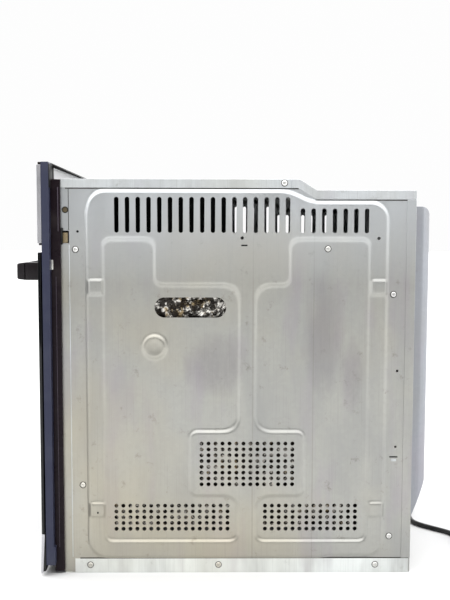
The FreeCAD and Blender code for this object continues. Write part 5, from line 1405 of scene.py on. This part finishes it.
# ---------------------------------------------------------------- stage
@dataclass
class Stage:
    """Pale floor, soft lights and the camera, in metres, watts and radians."""

    facing_light: float = 0.12
    side_light: float = 1.7
    high_light: float = 2.6
    backdrop: float = 0.985
    floor_radius: float = 30.0
    floor_grey: float = 0.6
    look_at: tuple[float, float, float] = (0.0, 0.0, 0.28)
    # Name, place, side and power of each soft light.
    lights: Sequence[tuple] = (
        ("top_softbox", (0.4, 0.0, 2.4), 2.2, 12.0), ("front_softbox", (0.8, -2.4, 1.2), 1.6, 8.0))
    camera_at: tuple[float, float, float] = (1.8521, -0.0389, 0.5018)
    yaw: float = 0.0122
    pitch: float = 0.1027
    roll: float = 0.0021
    focal: float = 65.11        # millimetres
    rise: float = 0.0762        # upward shift of the lens, as a share of the picture

    def build(self) -> None:
        """Make the floor, the room, the lights and the camera."""
        self.floor()
        self.room()
        for name, place, size, power in self.lights:
            self.light(name, place, size, power)
        bpy.context.scene.view_settings.view_transform = "Standard"
        self.camera()

    @staticmethod
    def placed(name: str, data: bpy.types.ID) -> bpy.types.Object:
        """Put data into the scene as an object, and return it."""
        holder = bpy.data.objects.new(name, data)
        bpy.context.scene.collection.objects.link(holder)
        return holder

    def floor(self) -> None:
        """Make the pale floor."""
        bm = bmesh.new()
        bmesh.ops.create_circle(bm, cap_ends=True, segments=96, radius=self.floor_radius)
        mesh = bpy.data.meshes.new("studio_floor")
        bm.to_mesh(mesh)
        bm.free()
        paper = bpy.data.materials.new("white_paper")
        paper.use_nodes = True
        inputs = paper.node_tree.nodes["Principled BSDF"].inputs
        inputs["Base Color"].default_value = grey(self.floor_grey)
        inputs["Roughness"].default_value = 0.9
        mesh.materials.append(paper)
        self.placed("studio_floor", mesh)

    def room(self) -> None:
        """Light the room softly: bright above, darker ahead at the height of the eye, and white to the camera."""
        world = bpy.data.worlds.new("studio_room")
        world.use_nodes = True
        tree = world.node_tree
        place = add_node(tree, "TexCoord", {}).outputs["Generated"]
        axes = add_node(tree, "SeparateXYZ", {"Vector": place}).outputs
        colour = grey(self.side_light)
        for axis, stops, level in (("X", ((0.5, 0.0), (0.85, 1.0)), self.facing_light),
                                   ("Z", ((0.2, 0.0), (0.6, 1.0)), self.high_light)):
            share = add_node(tree, "ValToRGB", {"Fac": axes[axis]}, stops).outputs[0]
            colour = add_node(tree, "Mix", {0: share, 6: colour, 7: grey(level)}, data_type="RGBA").outputs[2]
        seen = add_node(tree, "LightPath", {}).outputs["Is Camera Ray"]
        colour = add_node(tree, "Mix", {0: seen, 6: colour, 7: grey(self.backdrop)}, data_type="RGBA").outputs[2]
        tree.links.new(colour, tree.nodes["Background"].inputs["Color"])
        bpy.context.scene.world = world

    def light(self, name: str, place: tuple[float, float, float], size: float, power: float) -> None:
        """Hang a soft square light that looks at the oven.

        Args:
            name: the light's name.
            place: where it hangs.
            size: its side in metres.
            power: watts.
        """
        lamp = bpy.data.lights.new(name, "AREA")
        lamp.size = size
        lamp.energy = power
        holder = self.placed(name, lamp)
        holder.location = place
        holder.rotation_mode = "QUATERNION"
        holder.rotation_quaternion = (Vector(self.look_at) - Vector(place)).to_track_quat("-Z", "Y")

    def camera(self) -> None:
        """Place the camera from its yaw, pitch and roll."""
        lens = bpy.data.cameras.new("camera")
        lens.lens = self.focal
        lens.shift_y = self.rise
        lens.clip_end = 2 * self.floor_radius
        yaw, pitch, roll = self.yaw, self.pitch, self.roll
        ahead = Vector((-math.cos(pitch) * math.cos(yaw), math.cos(pitch) * math.sin(yaw), -math.sin(pitch)))
        level = Vector((math.sin(yaw), math.cos(yaw), 0.0))
        right = level * math.cos(roll) + level.cross(ahead) * math.sin(roll)
        axes = Matrix((right, right.cross(ahead), -ahead)).transposed().to_4x4()
        holder = self.placed("camera", lens)
        holder.matrix_world = Matrix.Translation(self.camera_at) @ axes
        bpy.context.scene.camera = holder


def main() -> None:
    """Build the oven around its frame, the stage and the camera."""
    logging.basicConfig(level=logging.INFO, format="%(message)s")
    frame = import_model()
    slots = Finishes.by_slot()
    finishes = {}
    for name, node in frame["nodes"].items():
        finishes[name] = slots[node.data.materials[0].name.split(".")[0]]
        node.data.materials[0] = finishes[name].material()
    # The base tray and the top covers take the brighter sheets, painted highlights; the housing takes the white primer.
    finishes |= {"base_tray": Finishes.rail, "control_housing": Finishes.pale,
                 "top_cover_front": Finishes.flange, "top_cover_rear": Finishes.flange}
    EasedNodes().build(frame, finishes)
    SidePanels().build(frame, finishes)
    Fasteners().build(frame)
    MainsLead().build(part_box("rear_panel")[1].y)
    for group in (FoilSkin, DuctWalls, DoorSprings, Controls, FrontDetails, Stage):
        group().build()


if __name__ == "__main__":
    main()
